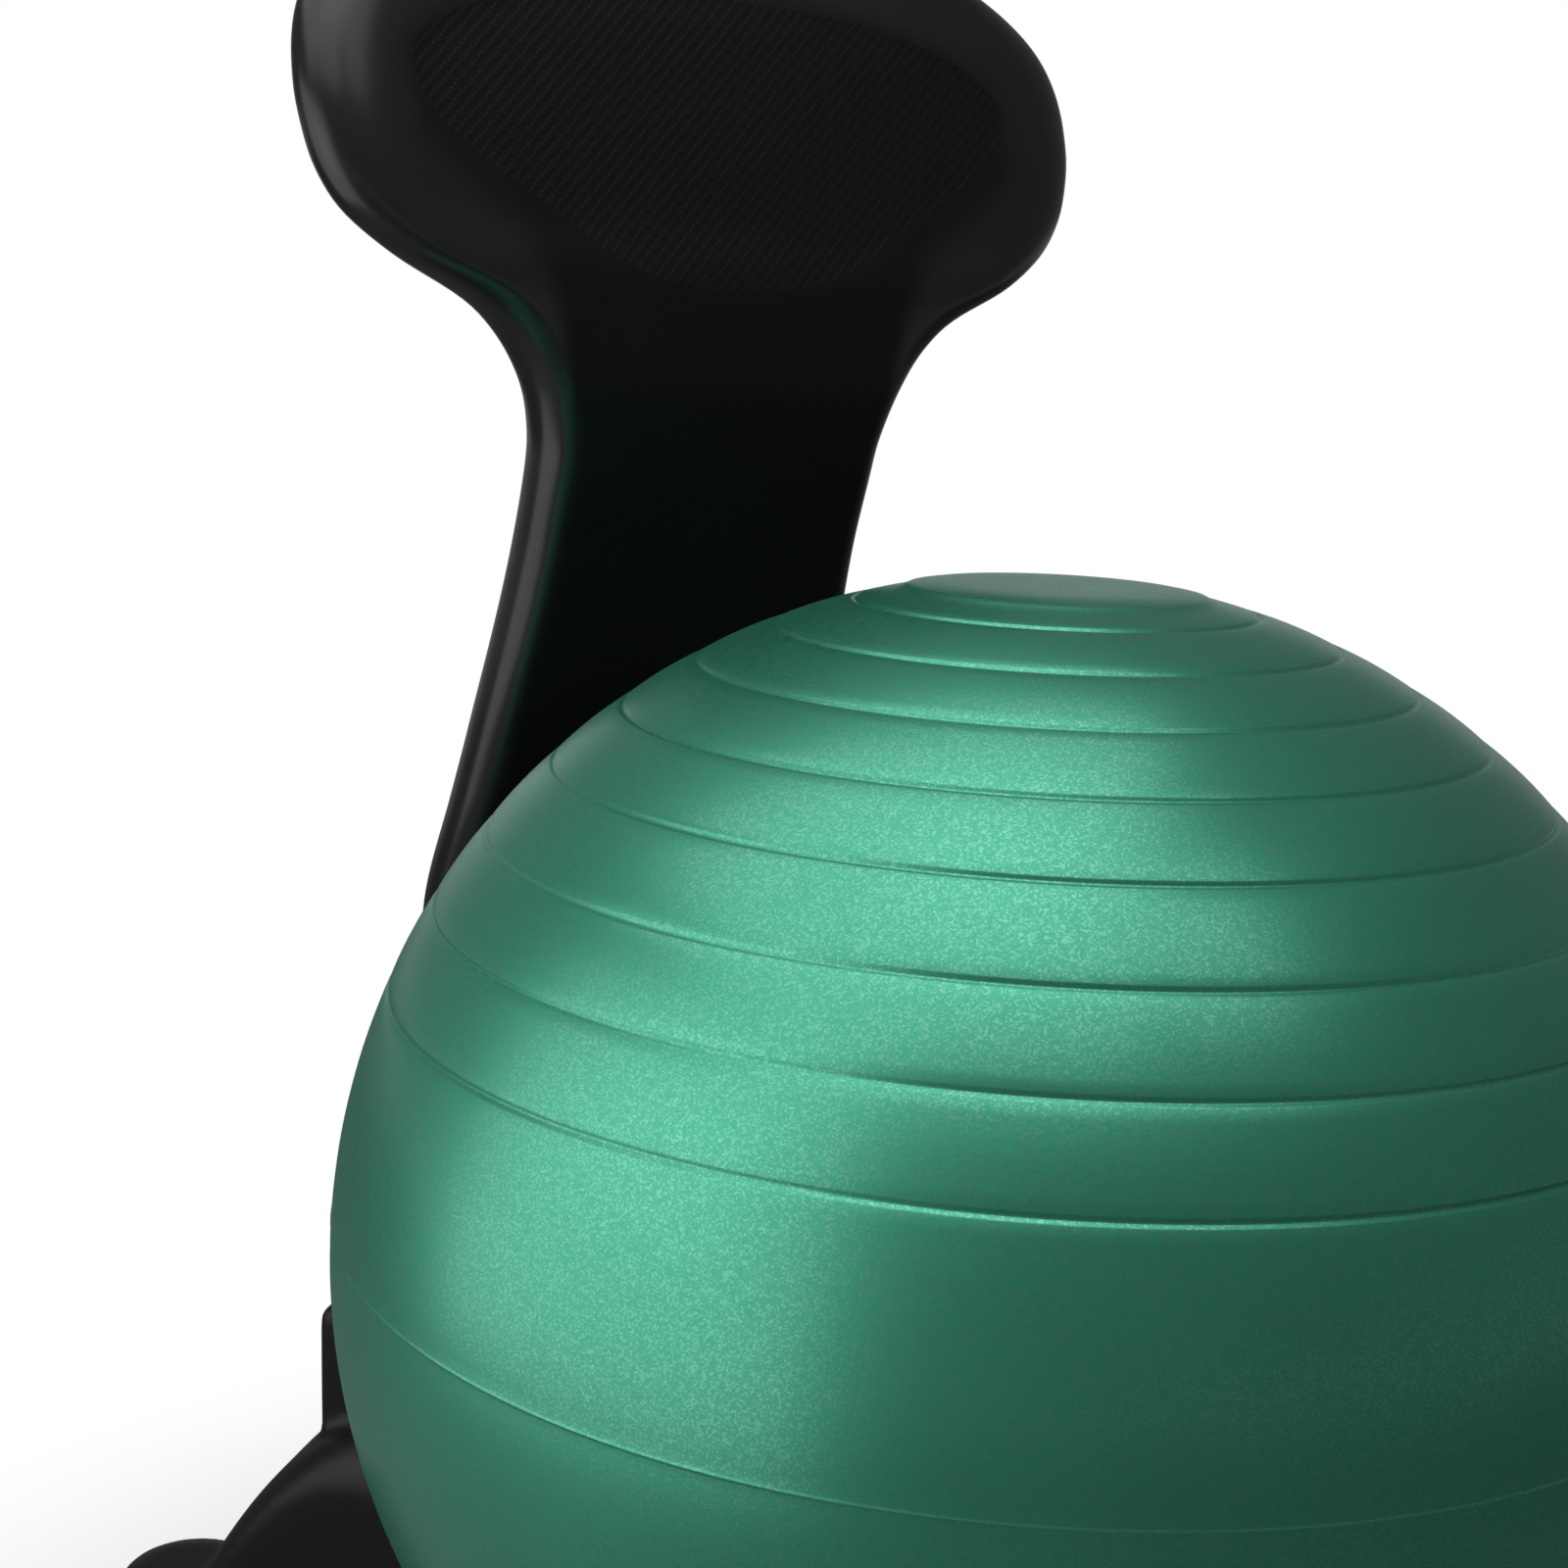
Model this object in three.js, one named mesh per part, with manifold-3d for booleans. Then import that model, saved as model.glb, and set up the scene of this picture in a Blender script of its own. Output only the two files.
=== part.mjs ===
// Balance ball chair: an inflated ball seated in a moulded base on four twin wheel casters,
// with a hollow moulded backrest that rises from a socket behind the ball.
// Lengths are millimetres and angles are degrees. +Z is up and the sitter faces -Y.
// Left and right are as seen from in front of the chair, with left at -X.

import * as THREE from 'three';
import { mergeVertices } from 'three/addons/utils/BufferGeometryUtils.js';
import Module from 'manifold-3d';

const wasm = await Module();
wasm.setup();

// Fits
const seatGap = 0.3;
const runGap = 0.35;
const slideGap = 0.5;
const cutOver = 2;

// Ball
const ballRadius = 260;
const ballHeightShare = 0.97;
const ballWall = 1.2;
const ballCapRadius = 40;
const valveRadius = 8;
const ballSegments = 36;
const ballRowStep = 9;

// Air plug
const plugHeadRadius = 13;
const plugHeadThickness = 2.4;
const plugShankLength = 15;
const plugTipRadius = 5.5;

// Bowl of the base
const floorClearance = 44;
const hubThickness = 8.8;
const hubHoleRadius = 36;
const hubFlatRadius = 62;
const bowlWall = 6;
const bowlRimDrop = 131;
const bowlRimRound = 2.5;

// Rear collar, which keeps the ball from rolling back
const collarTopDrop = 66;
const collarReach = 25;
const collarDepth = 118;
const collarRoot = 28;
const collarSpread = 45;
const collarCorner = 11;
const collarTaper = 3;
const mouldWall = 4;
const collarPocketSpread = 31;

// Legs
const legHalfWidth = 40;
const legRootOverlap = 8.1;
const legRearTop = 190;
const legFrontTop = 158;
const legUndersideRise = 34;
const legBossRadius = 32;
const legBossTop = 107;
const legBossRound = 8;
const legArchEnd = 10;
const legArchSpan = 76;
const legArchPower = 1.8;
const legArchSteps = 6;

// Backrest
const padHalfWidth = 195;
const padRise = 520;
const backThickness = 34;
const backEdgeRound = 17;
const backWall = 3.5;
const backFootSetback = 47;
const padWingForward = 9;
const crownPower = 2.7;
const crestThicknessShare = 0.3;

// Backrest socket at the rear of the base
const socketSideWall = 11;
const socketRearWall = 10;
const socketFloor = 9;
const socketDepth = 117;
const socketCorner = 16;
const socketStandoff = 2;

// Bolts that fix the backrest in its socket
const boltRadius = 4;
const boltHeadRadius = 7.5;
const boltHeadHeight = 4.5;
const boltHalfSpacing = 46;
const boltDrop = 55;
const nutAcrossFlats = 13;
const nutThickness = 6.5;
const boltEndBeyondNut = 1.5;
const nutWall = 13;
const washerRadius = 10;
const washerThickness = 1.6;
const boltBossRadius = 9;

// Caster places
const casterHalfTrack = 235;
const frontCasterReach = 238;
const rearCasterReach = 255;
const casterTurn = 30;

// Casters
const wheelRadius = 25;
const wheelWidth = 11;
const wheelShoulder = 1.5;
const wheelRim = 6;
const wheelDish = 2.5;
const wheelSegments = 20;
const webWidth = 16;
const wheelSideGap = 1;
const hoodGap = 1.6;
const hoodWall = 3;
const hoodSkirtHeight = 29;
const casterTrail = 17;
const axleRadius = 3;
const axleBossRadius = 9;
const stemRadius = 5.5;
const stemReach = 29;
const stemFlangeRadius = 9;
const stemFlangeThickness = 1.5;
const stemHold = 23.4;
const swivelBossRadius = 12;
const swivelBossRise = 5.8;
const sleeveWall = 1.4;
const sleeveFlangeRadius = 10.5;
const sleeveFlangeThickness = 1.2;
const sleeveLength = 33;

// Brake levers on the two front casters
const brakeAngle = 50;
const brakePivotRise = 4.5;
const brakePinRadius = 1.5;
const brakeHubRadius = 3.8;
const brakeHalfWidth = 7;
const brakeEarThickness = 2.6;
const brakePadLength = 17;
const brakePadThickness = 3.6;
const brakePadLift = 12;
const brakeTailHalfWidth = 4;
const brakeTailDepth = 11;
const brakeTailThickness = 4;
const brakeTailPlay = 1;
const brakeEarSpread = 14;
const brakeSlotSpread = 13;

// Sizes that follow from the ones above
const ballPolarRadius = ballRadius * ballHeightShare;
const ballCentreHeight = floorClearance + hubThickness + ballPolarRadius;
const bowlRimTop = ballCentreHeight - bowlRimDrop;
const collarTop = ballCentreHeight - collarTopDrop;
const collarBottom = collarTop - collarDepth;
const collarOuterRadius = ballRadius + collarReach;
const backTop = ballCentreHeight + padRise;
const socketTop = collarTop;
const backFoot = socketTop - socketDepth;
const backHeight = backTop - backFoot;
const legRootRadius = ballRadiusAt(Math.min(bowlRimTop, legFrontTop) - legRootOverlap);
const socketFrontRadius = ballRadius + socketStandoff;
const backFootFront = ballRadius + backFootSetback;
const socketRear = backFootFront + backThickness + slideGap + socketRearWall;
const boltHeight = socketTop - boltDrop;
const wheelInnerFace = webWidth / 2 + wheelSideGap;
const hoodHalfWidth = wheelInnerFace + wheelWidth;
const hoodInnerRadius = wheelRadius + hoodGap;
const hoodOuterRadius = hoodInnerRadius + hoodWall;
const sleeveRadius = stemRadius + runGap + sleeveWall;
const housingTop = wheelRadius + hoodOuterRadius + swivelBossRise;
const stemFoot = housingTop - stemHold;
const stemFlangeBottom = housingTop + seatGap;
const sleeveFlangeBottom = stemFlangeBottom + stemFlangeThickness + seatGap;
const legUnderside = sleeveFlangeBottom + sleeveFlangeThickness + seatGap;

// Radius of the ball at a height
function ballRadiusAt(height) {
  return ballRadius * Math.sqrt(1 - ((ballCentreHeight - height) / ballPolarRadius) ** 2);
}

// Half widths of the backrest as shares of the pad's, against shares of the backrest's height
const backWidthShares = [
  [0, 0.508], [0.35, 0.508], [0.48, 0.475], [0.617, 0.442], [0.66, 0.447], [0.688, 0.468],
  [0.716, 0.51], [0.745, 0.6], [0.773, 0.79], [0.801, 0.94], [0.83, 0.99], [0.872, 1],
];

const padStartShare = 0.68;
const padWidestShare = backWidthShares[backWidthShares.length - 1][0];

// The front face's distance behind the ball's axis as shares of its distance at the foot
const backSetbackShares = [
  [0, 1], [0.22, 1], [0.27, 0.998], [0.35, 0.98], [0.433, 0.912], [0.518, 0.845], [0.603, 0.786],
  [0.66, 0.746], [0.71, 0.724], [0.76, 0.722], [0.8, 0.746], [0.86, 0.778], [0.92, 0.812], [1, 0.87],
];

// Materials
const materials = {
  pearlVinyl: new THREE.MeshStandardMaterial({ color: 0x3fa382, roughness: 0.38, metalness: 0.1 }),
  whitePlastic: new THREE.MeshStandardMaterial({ color: 0xe4e4e0, roughness: 0.5, metalness: 0 }),
  blackPlastic: new THREE.MeshStandardMaterial({ color: 0x161616, roughness: 0.4, metalness: 0 }),
  blackNylon: new THREE.MeshStandardMaterial({ color: 0x1b1b1c, roughness: 0.5, metalness: 0 }),
  wheelNylon: new THREE.MeshStandardMaterial({ color: 0x242425, roughness: 0.55, metalness: 0 }),
  zincSteel: new THREE.MeshStandardMaterial({ color: 0xb9bcc0, roughness: 0.32, metalness: 1 }),
  blackSteel: new THREE.MeshStandardMaterial({ color: 0x202022, roughness: 0.4, metalness: 0.8 }),
};

const radians = (angle) => THREE.MathUtils.degToRad(angle);

// A closed geometry with merged corners, no slivers and its faces pointing out
function closedGeometry(geometry) {
  const bare = new THREE.BufferGeometry();
  bare.setAttribute('position', geometry.getAttribute('position').clone());
  if (geometry.index) bare.setIndex(geometry.index.clone());
  const merged = mergeVertices(bare, 1e-4);
  const place = merged.getAttribute('position');
  const kept = [];
  let volume = 0;
  const [a, b, c] = [new THREE.Vector3(), new THREE.Vector3(), new THREE.Vector3()];
  for (let i = 0; i < merged.index.count; i += 3) {
    const [p, q, r] = [0, 1, 2].map((k) => merged.index.getX(i + k));
    if (p === q || q === r || r === p) continue;
    a.fromBufferAttribute(place, p);
    b.fromBufferAttribute(place, q);
    c.fromBufferAttribute(place, r);
    volume += a.dot(b.cross(c));
    kept.push(p, q, r);
  }
  if (volume < 0) kept.reverse();
  merged.setIndex(kept);
  return merged;
}

function solidOf(geometry) {
  const closed = closedGeometry(geometry);
  const mesh = new wasm.Mesh({
    numProp: 3,
    vertProperties: new Float32Array(closed.getAttribute('position').array),
    triVerts: new Uint32Array(closed.index.array),
  });
  return new wasm.Manifold(mesh);
}

function geometryOf(solid) {
  const mesh = solid.getMesh();
  const geometry = new THREE.BufferGeometry();
  geometry.setAttribute('position', new THREE.BufferAttribute(mesh.vertProperties, 3));
  geometry.setIndex(new THREE.BufferAttribute(mesh.triVerts, 1));
  geometry.computeVertexNormals();
  return geometry;
}

const joined = (solids) => solids.reduce((whole, solid) => whole.add(solid));
const cut = (solid, cutters) => cutters.reduce((rest, cutter) => rest.subtract(cutter), solid);

// Turned shape about Z from points of radius and height
function revolve(points, segments) {
  const outline = points.map(([radius, height]) => new THREE.Vector2(radius, height));
  return new THREE.LatheGeometry(outline, segments).rotateX(Math.PI / 2);
}

const closedRing = (points) => [...points, points[0]];

function cylinderZ(radius, bottom, top, segments) {
  const geometry = new THREE.CylinderGeometry(radius, radius, top - bottom, segments);
  return geometry.rotateX(Math.PI / 2).translate(0, 0, (bottom + top) / 2);
}

function cylinderX(radius, halfLength, segments) {
  return new THREE.CylinderGeometry(radius, radius, 2 * halfLength, segments).rotateZ(Math.PI / 2);
}

function cylinderY(radius, front, rear, segments) {
  const geometry = new THREE.CylinderGeometry(radius, radius, rear - front, segments);
  return geometry.translate(0, (front + rear) / 2, 0);
}

// Outline in the Y Z plane, given as a shape of (y, z), made as thick as twice halfWidth along X
function plateX(shape, halfWidth, curveSegments) {
  const settings = { depth: 2 * halfWidth, bevelEnabled: false, curveSegments };
  const geometry = new THREE.ExtrudeGeometry(shape, settings);
  return geometry.rotateX(Math.PI / 2).rotateZ(Math.PI / 2).translate(-halfWidth, 0, 0);
}

// Closed skin over a row of rings that all have the same number of points
function loft(rings) {
  const count = rings[0].length;
  const points = rings.flat();
  const centre = (ring) => ring.reduce((sum, p) => sum.clone().add(p)).divideScalar(count);
  points.push(centre(rings[0]), centre(rings[rings.length - 1]));
  const index = [];
  for (let k = 0; k < rings.length - 1; k += 1) {
    for (let i = 0; i < count; i += 1) {
      const [a, b] = [k * count + i, k * count + ((i + 1) % count)];
      index.push(a, b, b + count, a, b + count, a + count);
    }
  }
  const last = (rings.length - 1) * count;
  for (let i = 0; i < count; i += 1) {
    index.push(points.length - 2, (i + 1) % count, i);
    index.push(points.length - 1, last + i, last + ((i + 1) % count));
  }
  const geometry = new THREE.BufferGeometry().setFromPoints(points);
  geometry.setIndex(index);
  return geometry;
}

// Smooth curve through a table of [place, value] rows that never overshoots them
function smoothTable(table, place) {
  const last = table.length - 1;
  const at = THREE.MathUtils.clamp(place, table[0][0], table[last][0]);
  let k = 0;
  while (k < last - 1 && at > table[k + 1][0]) k += 1;
  const slope = (i) => (table[i + 1][1] - table[i][1]) / (table[i + 1][0] - table[i][0]);
  const tangent = (i) => {
    if (i === 0 || i === last) return 0;
    const [before, after] = [slope(i - 1), slope(i)];
    return before * after <= 0 ? 0 : (2 * before * after) / (before + after);
  };
  const width = table[k + 1][0] - table[k][0];
  const t = (at - table[k][0]) / width;
  const rise = t * t * (3 - 2 * t);
  const lead = t * (1 - t) * (1 - t) * tangent(k) - t * t * (1 - t) * tangent(k + 1);
  return table[k][1] + (table[k + 1][1] - table[k][1]) * rise + width * lead;
}

// Ball surface, moved out by offset, at a latitude
function ballPoint(latitude, offset) {
  const angle = radians(latitude);
  const height = ballCentreHeight + (ballPolarRadius + offset) * Math.sin(angle);
  return [(ballRadius + offset) * Math.cos(angle), height];
}

const latitudeOfRadius = (radius) => THREE.MathUtils.radToDeg(Math.acos(radius / ballRadius));

// Rows of the ball's outline from its cap down to the given radius round the lower pole
function ballRows(offset, lowestRadius, step) {
  const [top, bottom] = [latitudeOfRadius(ballCapRadius), -latitudeOfRadius(lowestRadius)];
  const rows = [ballPoint(top, offset)];
  const first = Math.floor((top - step / 4) / step) * step;
  for (let latitude = first; latitude > bottom + step / 4; latitude -= step) {
    rows.push(ballPoint(latitude, offset));
  }
  rows.push(ballPoint(bottom, offset));
  return rows;
}

// Thin shell, open at the valve under it, with a flat cap on top
function ballShell() {
  const outer = ballRows(0, valveRadius, ballRowStep);
  const inner = ballRows(-ballWall, valveRadius, ballRowStep);
  const outline = [[0, outer[0][1]], ...outer, ...inner.reverse(), [0, inner[inner.length - 1][1]]];
  return geometryOf(solidOf(revolve(outline, ballSegments)));
}

// Solid form of the ball, moved out by offset, which shapes what hugs it
function ballForm(offset) {
  const rows = ballRows(offset, valveRadius, ballRowStep);
  const outline = [[0, rows[0][1]], ...rows, [0, rows[rows.length - 1][1]]];
  return solidOf(revolve(outline, ballSegments));
}

// Push-in stopper with a flat head under the ball and a tapered shank inside it
function airPlug() {
  const headTop = ballPoint(-latitudeOfRadius(plugHeadRadius), 0)[1] - ballHeadSink() - seatGap;
  const shankRadius = valveRadius - runGap;
  const outline = [
    [0, headTop - plugHeadThickness], [plugHeadRadius, headTop - plugHeadThickness],
    [plugHeadRadius, headTop], [shankRadius, headTop], [plugTipRadius, headTop + plugShankLength],
    [0, headTop + plugShankLength],
  ];
  return revolve(outline, 16);
}

// How much lower the ball is at the valve than at the plug head's edge
function ballHeadSink() {
  const edge = ballPoint(-latitudeOfRadius(plugHeadRadius), 0)[1];
  return edge - ballPoint(-latitudeOfRadius(valveRadius), 0)[1];
}

// Bowl that hugs the ball's lower part, with a flat ring under its hub
function bowl() {
  const rimRadius = ballRadiusAt(bowlRimTop) + bowlWall + seatGap;
  const outline = [[hubHoleRadius, floorClearance], [hubFlatRadius, floorClearance]];
  const lowest = -Math.floor(90 / ballRowStep) * ballRowStep;
  for (let latitude = lowest; latitude < 0; latitude += ballRowStep) {
    const [radius, height] = ballPoint(latitude, bowlWall + seatGap);
    const inside = height > floorClearance && height < bowlRimTop - 2 * bowlRimRound;
    if (inside && radius > hubFlatRadius) outline.push([radius, height]);
  }
  outline.push([rimRadius, bowlRimTop - 2 * bowlRimRound]);
  outline.push([rimRadius - bowlRimRound, bowlRimTop], [hubHoleRadius, bowlRimTop]);
  return solidOf(revolve(closedRing(outline), ballSegments));
}

// Section of the rear collar at an angle from the rear, as points of radius and height
function collarRing(angle, spread, inset) {
  const fromEnd = radians(spread - Math.abs(angle)) * collarOuterRadius;
  const near = Math.max(0, collarCorner - fromEnd);
  const dip = collarCorner - Math.sqrt(Math.max(0, collarCorner ** 2 - near ** 2));
  const top = collarTop - inset - (inset > 0 ? 0 : dip);
  const bottom = inset > 0 ? floorClearance : collarBottom;
  const outer = collarOuterRadius - inset;
  const inner = outer - collarReach - collarRoot;
  const round = collarCorner / 2;
  const outline = [
    [inner, bottom], [outer - collarTaper, bottom],
    [outer, top - round], [outer - round / 3, top - round / 3],
    [outer - round, top], [inner, top],
  ];
  const [s, c] = [Math.sin(radians(angle)), Math.cos(radians(angle))];
  return outline.map(([radius, height]) => new THREE.Vector3(radius * s, radius * c, height));
}

function collar(spread, inset, steps) {
  const cornerAngle = THREE.MathUtils.radToDeg(collarCorner / collarOuterRadius);
  const angles = [-spread, -spread + cornerAngle / 4];
  for (let i = 0; i <= steps; i += 1) {
    angles.push(THREE.MathUtils.lerp(-spread + cornerAngle, spread - cornerAngle, i / steps));
  }
  angles.push(spread - cornerAngle / 4, spread);
  return solidOf(loft(angles.map((angle) => collarRing(angle, spread, inset))));
}

// Ring in a standing plane: halfWidth across, from bottom to top, with rounded corners
function standingRing(centre, direction, halfWidth, bottom, top, count) {
  const side = new THREE.Vector3(-direction.y, direction.x, 0);
  const [middle, half] = [(bottom + top) / 2, (top - bottom) / 2];
  const round = (value) => Math.sign(value) * Math.abs(value) ** (2 / 3);
  const ring = [];
  for (let i = 0; i < count; i += 1) {
    const angle = (2 * Math.PI * (i + 0.5)) / count;
    const point = centre.clone().addScaledVector(side, halfWidth * round(Math.cos(angle)));
    ring.push(point.setZ(middle + half * round(Math.sin(angle))));
  }
  return ring;
}

// Leg that runs out from under the bowl and arches down to its caster boss
function legLoft(place, rootTop, inset) {
  const reach = Math.hypot(place.x, place.y);
  const direction = new THREE.Vector3(place.x, place.y, 0).normalize();
  const rings = [];
  const end = inset > 0 ? reach - legBossRadius : reach;
  const archStart = reach - legArchEnd - legArchSpan;
  const [steps, count] = inset > 0 ? [legArchSteps - 2, 12] : [legArchSteps, 16];
  const radii = [legRootRadius + inset];
  for (let i = 0; i < steps; i += 1) radii.push(archStart + (legArchSpan * i) / steps);
  if (inset === 0) radii.push(archStart + legArchSpan);
  radii.push(end);
  for (const radius of radii) {
    const along = (radius - legRootRadius) / (reach - legRootRadius);
    const arch = THREE.MathUtils.clamp((radius - archStart) / legArchSpan, 0, 1);
    const top = rootTop - (rootTop - legBossTop) * arch ** legArchPower - inset;
    const rise = legUndersideRise * Math.cos(arch * Math.PI / 2) ** 2;
    const bottom = inset > 0 ? legUnderside - cutOver : legUnderside + rise;
    const halfWidth = THREE.MathUtils.lerp(legHalfWidth, legBossRadius, along) - inset;
    const centre = direction.clone().multiplyScalar(radius);
    rings.push(standingRing(centre, direction, halfWidth, bottom, top, count));
  }
  return solidOf(loft(rings));
}

function legBoss(place) {
  const outline = [
    [0, legUnderside], [legBossRadius, legUnderside], [legBossRadius, legBossTop - legBossRound],
    [legBossRadius - legBossRound / 3, legBossTop - legBossRound / 3],
    [legBossRadius - legBossRound, legBossTop],
    [0, legBossTop],
  ];
  return solidOf(revolve(outline, 24).translate(place.x, place.y, 0));
}

function sleeveBore(place) {
  const top = legUnderside + sleeveLength + seatGap;
  const bore = cylinderZ(sleeveRadius + seatGap, legUnderside - cutOver, top, 16);
  return solidOf(bore.translate(place.x, place.y, 0));
}

// Level ring of the backrest, moved out by offset: width and front come from the tables of shares
function backRing(height, offset, crown) {
  const share = (height - backFoot) / backHeight;
  const halfWidth = padHalfWidth * smoothTable(backWidthShares, share) * crown + offset;
  const edge = Math.min(1, (backTop - height) / backEdgeRound);
  const thin = Math.max(crestThicknessShare, Math.sqrt(1 - (1 - edge) ** 2));
  const halfThickness = (backThickness / 2) * thin + offset;
  const middle = backFootFront * smoothTable(backSetbackShares, share) + backThickness / 2;
  const wing = padWingForward * THREE.MathUtils.smoothstep(share, padStartShare, padWidestShare);
  const round = (value, power) => Math.sign(value) * Math.abs(value) ** power;
  const count = offset < 0 ? 20 : 24;
  const ring = [];
  for (let i = 0; i < count; i += 1) {
    const angle = (2 * Math.PI * i) / count;
    const across = round(Math.cos(angle), 0.6);
    const y = middle - wing * across * across + halfThickness * round(Math.sin(angle), 0.55);
    ring.push(new THREE.Vector3(halfWidth * across, y, height));
  }
  return ring;
}

// Rings of the backrest from a height up to its crest, with a superelliptic top from the widest place
function backRings(from, offset) {
  const rings = [];
  const wide = backFoot + padWidestShare * backHeight;
  const top = backTop + 2 * Math.min(0, offset);
  const steps = offset < 0 ? 10 : 14;
  for (let i = 0; i < steps; i += 1) {
    rings.push(backRing(THREE.MathUtils.lerp(from, wide, (i / steps) ** 0.7), offset, 1));
  }
  for (let i = 0; i <= 6; i += 1) {
    const angle = radians(15 * i - i / 2);
    const power = 2 / crownPower;
    const height = THREE.MathUtils.lerp(wide, top, Math.sin(angle) ** power);
    rings.push(backRing(height, offset, Math.cos(angle) ** power));
  }
  return rings;
}

function boltHole(x, radius, front, rear) {
  return solidOf(cylinderY(radius, front, rear, 16).translate(x, 0, boltHeight));
}

const boltPlaces = [['left', -boltHalfSpacing], ['right', boltHalfSpacing]];

// Hollow moulding, open at its foot, with a tube across it for each bolt
function backrest() {
  const footRear = backFootFront + backThickness;
  const tubes = boltPlaces.map(([, x]) => boltHole(x, boltBossRadius, backFootFront, footRear));
  const hollow = cut(solidOf(loft(backRings(backFoot - cutOver, -backWall))), tubes);
  const bores = boltPlaces.map(([, x]) => boltHole(x, boltRadius + seatGap, ballRadius, socketRear));
  return geometryOf(cut(solidOf(loft(backRings(backFoot, 0))), [hollow, ...bores]));
}

// Block at the rear of the collar that the backrest's foot drops into
function socketBlock() {
  const halfWidth = padHalfWidth * backWidthShares[0][1] + slideGap + socketSideWall;
  const shape = new THREE.Shape();
  shape.moveTo(-halfWidth, socketFrontRadius - socketCorner);
  shape.lineTo(halfWidth, socketFrontRadius - socketCorner);
  const cornerY = socketRear - socketCorner;
  shape.absarc(halfWidth - socketCorner, cornerY, socketCorner, 0, Math.PI / 2, false);
  shape.absarc(socketCorner - halfWidth, cornerY, socketCorner, Math.PI / 2, Math.PI, false);
  const bottom = backFoot - slideGap - socketFloor;
  const settings = { depth: socketTop - bottom, bevelEnabled: false, curveSegments: 5 };
  return solidOf(new THREE.ExtrudeGeometry(shape, settings).translate(0, 0, bottom));
}

// Space for the backrest's foot
function socketPocket() {
  const rings = [backFoot - slideGap, socketTop + cutOver].map((height) => backRing(height, slideGap, 1));
  return solidOf(loft(rings));
}

const nutFront = backFootFront - nutWall - nutThickness;

// Six sided space that keeps a nut from turning, open towards the hollow of the collar
function nutPocket(x) {
  const radius = nutAcrossFlats / Math.sqrt(3) + seatGap;
  const front = socketFrontRadius;
  const pocket = cylinderY(radius, front, nutFront + nutThickness + seatGap, 6);
  return solidOf(pocket.translate(x, 0, boltHeight));
}

function casterPlace(name, side, y, top, brake) {
  return { name, x: side * casterHalfTrack, y, turn: -side * casterTurn, top, brake };
}

const casterPlaces = [
  casterPlace('front_left', -1, -frontCasterReach, legFrontTop, true),
  casterPlace('front_right', 1, -frontCasterReach, legFrontTop, true),
  casterPlace('rear_left', -1, rearCasterReach, legRearTop, false),
  casterPlace('rear_right', 1, rearCasterReach, legRearTop, false),
];

// One moulding: bowl, collar, socket and four legs, hollow underneath
function baseFrame() {
  const legs = casterPlaces.map((place) => legLoft(place, place.top, 0));
  const bosses = casterPlaces.map((place) => legBoss(place));
  const body = joined([bowl(), collar(collarSpread, 0, 12), socketBlock(), ...legs, ...bosses]);
  const insideBowl = ballForm(seatGap);
  const bowlSkin = ballForm(seatGap + bowlWall);
  const legHollows = casterPlaces.map((place) => legLoft(place, place.top, mouldWall).subtract(bowlSkin));
  const collarHollow = collar(collarPocketSpread, mouldWall, 8).subtract(bowlSkin);
  const hub = solidOf(cylinderZ(hubHoleRadius, floorClearance - cutOver, ballCentreHeight, ballSegments));
  const bores = casterPlaces.map((place) => sleeveBore(place));
  const boltBore = boltRadius + seatGap;
  const bolts = boltPlaces.map(([, x]) => boltHole(x, boltBore, socketFrontRadius, socketRear + cutOver));
  const nuts = boltPlaces.map(([, x]) => nutPocket(x));
  const cutters = [insideBowl, ...legHollows, collarHollow, hub, socketPocket(), ...bores, ...bolts, ...nuts];
  return geometryOf(cut(body, cutters));
}

// Round headed bolt with a hexagon recess, head to the rear
function backBolt() {
  const headFront = socketRear + seatGap + washerThickness + seatGap;
  const shankEnd = nutFront - boltEndBeyondNut;
  const shank = solidOf(cylinderY(boltRadius, shankEnd, headFront + boltHeadHeight / 2, 16));
  const dome = [
    [0, headFront], [boltHeadRadius, headFront], [boltHeadRadius, headFront + boltHeadHeight / 3],
    [boltHeadRadius * 0.7, headFront + boltHeadHeight], [0, headFront + boltHeadHeight],
  ];
  const head = solidOf(revolve(dome, 16).rotateX(-Math.PI / 2));
  const rear = headFront + boltHeadHeight;
  const recess = solidOf(cylinderY(boltRadius / 1.6, rear - boltHeadHeight / 2, rear + cutOver, 6));
  return geometryOf(shank.add(head).subtract(recess));
}

function ringY(innerRadius, outerRadius, front, thickness, segments, outerSegments) {
  const disc = solidOf(cylinderY(outerRadius, front, front + thickness, outerSegments));
  const hole = solidOf(cylinderY(innerRadius, front - cutOver, front + thickness + cutOver, segments));
  return geometryOf(disc.subtract(hole));
}

function backWasher() {
  return ringY(boltRadius + seatGap, washerRadius, socketRear + seatGap, washerThickness, 16, 20);
}

function backNut() {
  return ringY(boltRadius + seatGap, nutAcrossFlats / Math.sqrt(3), nutFront, nutThickness, 16, 6);
}

// Steel sleeve with a flange under the leg
function stemSleeve() {
  const outline = [
    [stemRadius + runGap, sleeveFlangeBottom], [sleeveFlangeRadius, sleeveFlangeBottom],
    [sleeveFlangeRadius, legUnderside - seatGap], [sleeveRadius, legUnderside - seatGap],
    [sleeveRadius, legUnderside + sleeveLength], [stemRadius + runGap, legUnderside + sleeveLength],
  ];
  return revolve(closedRing(outline), 16);
}

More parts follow.
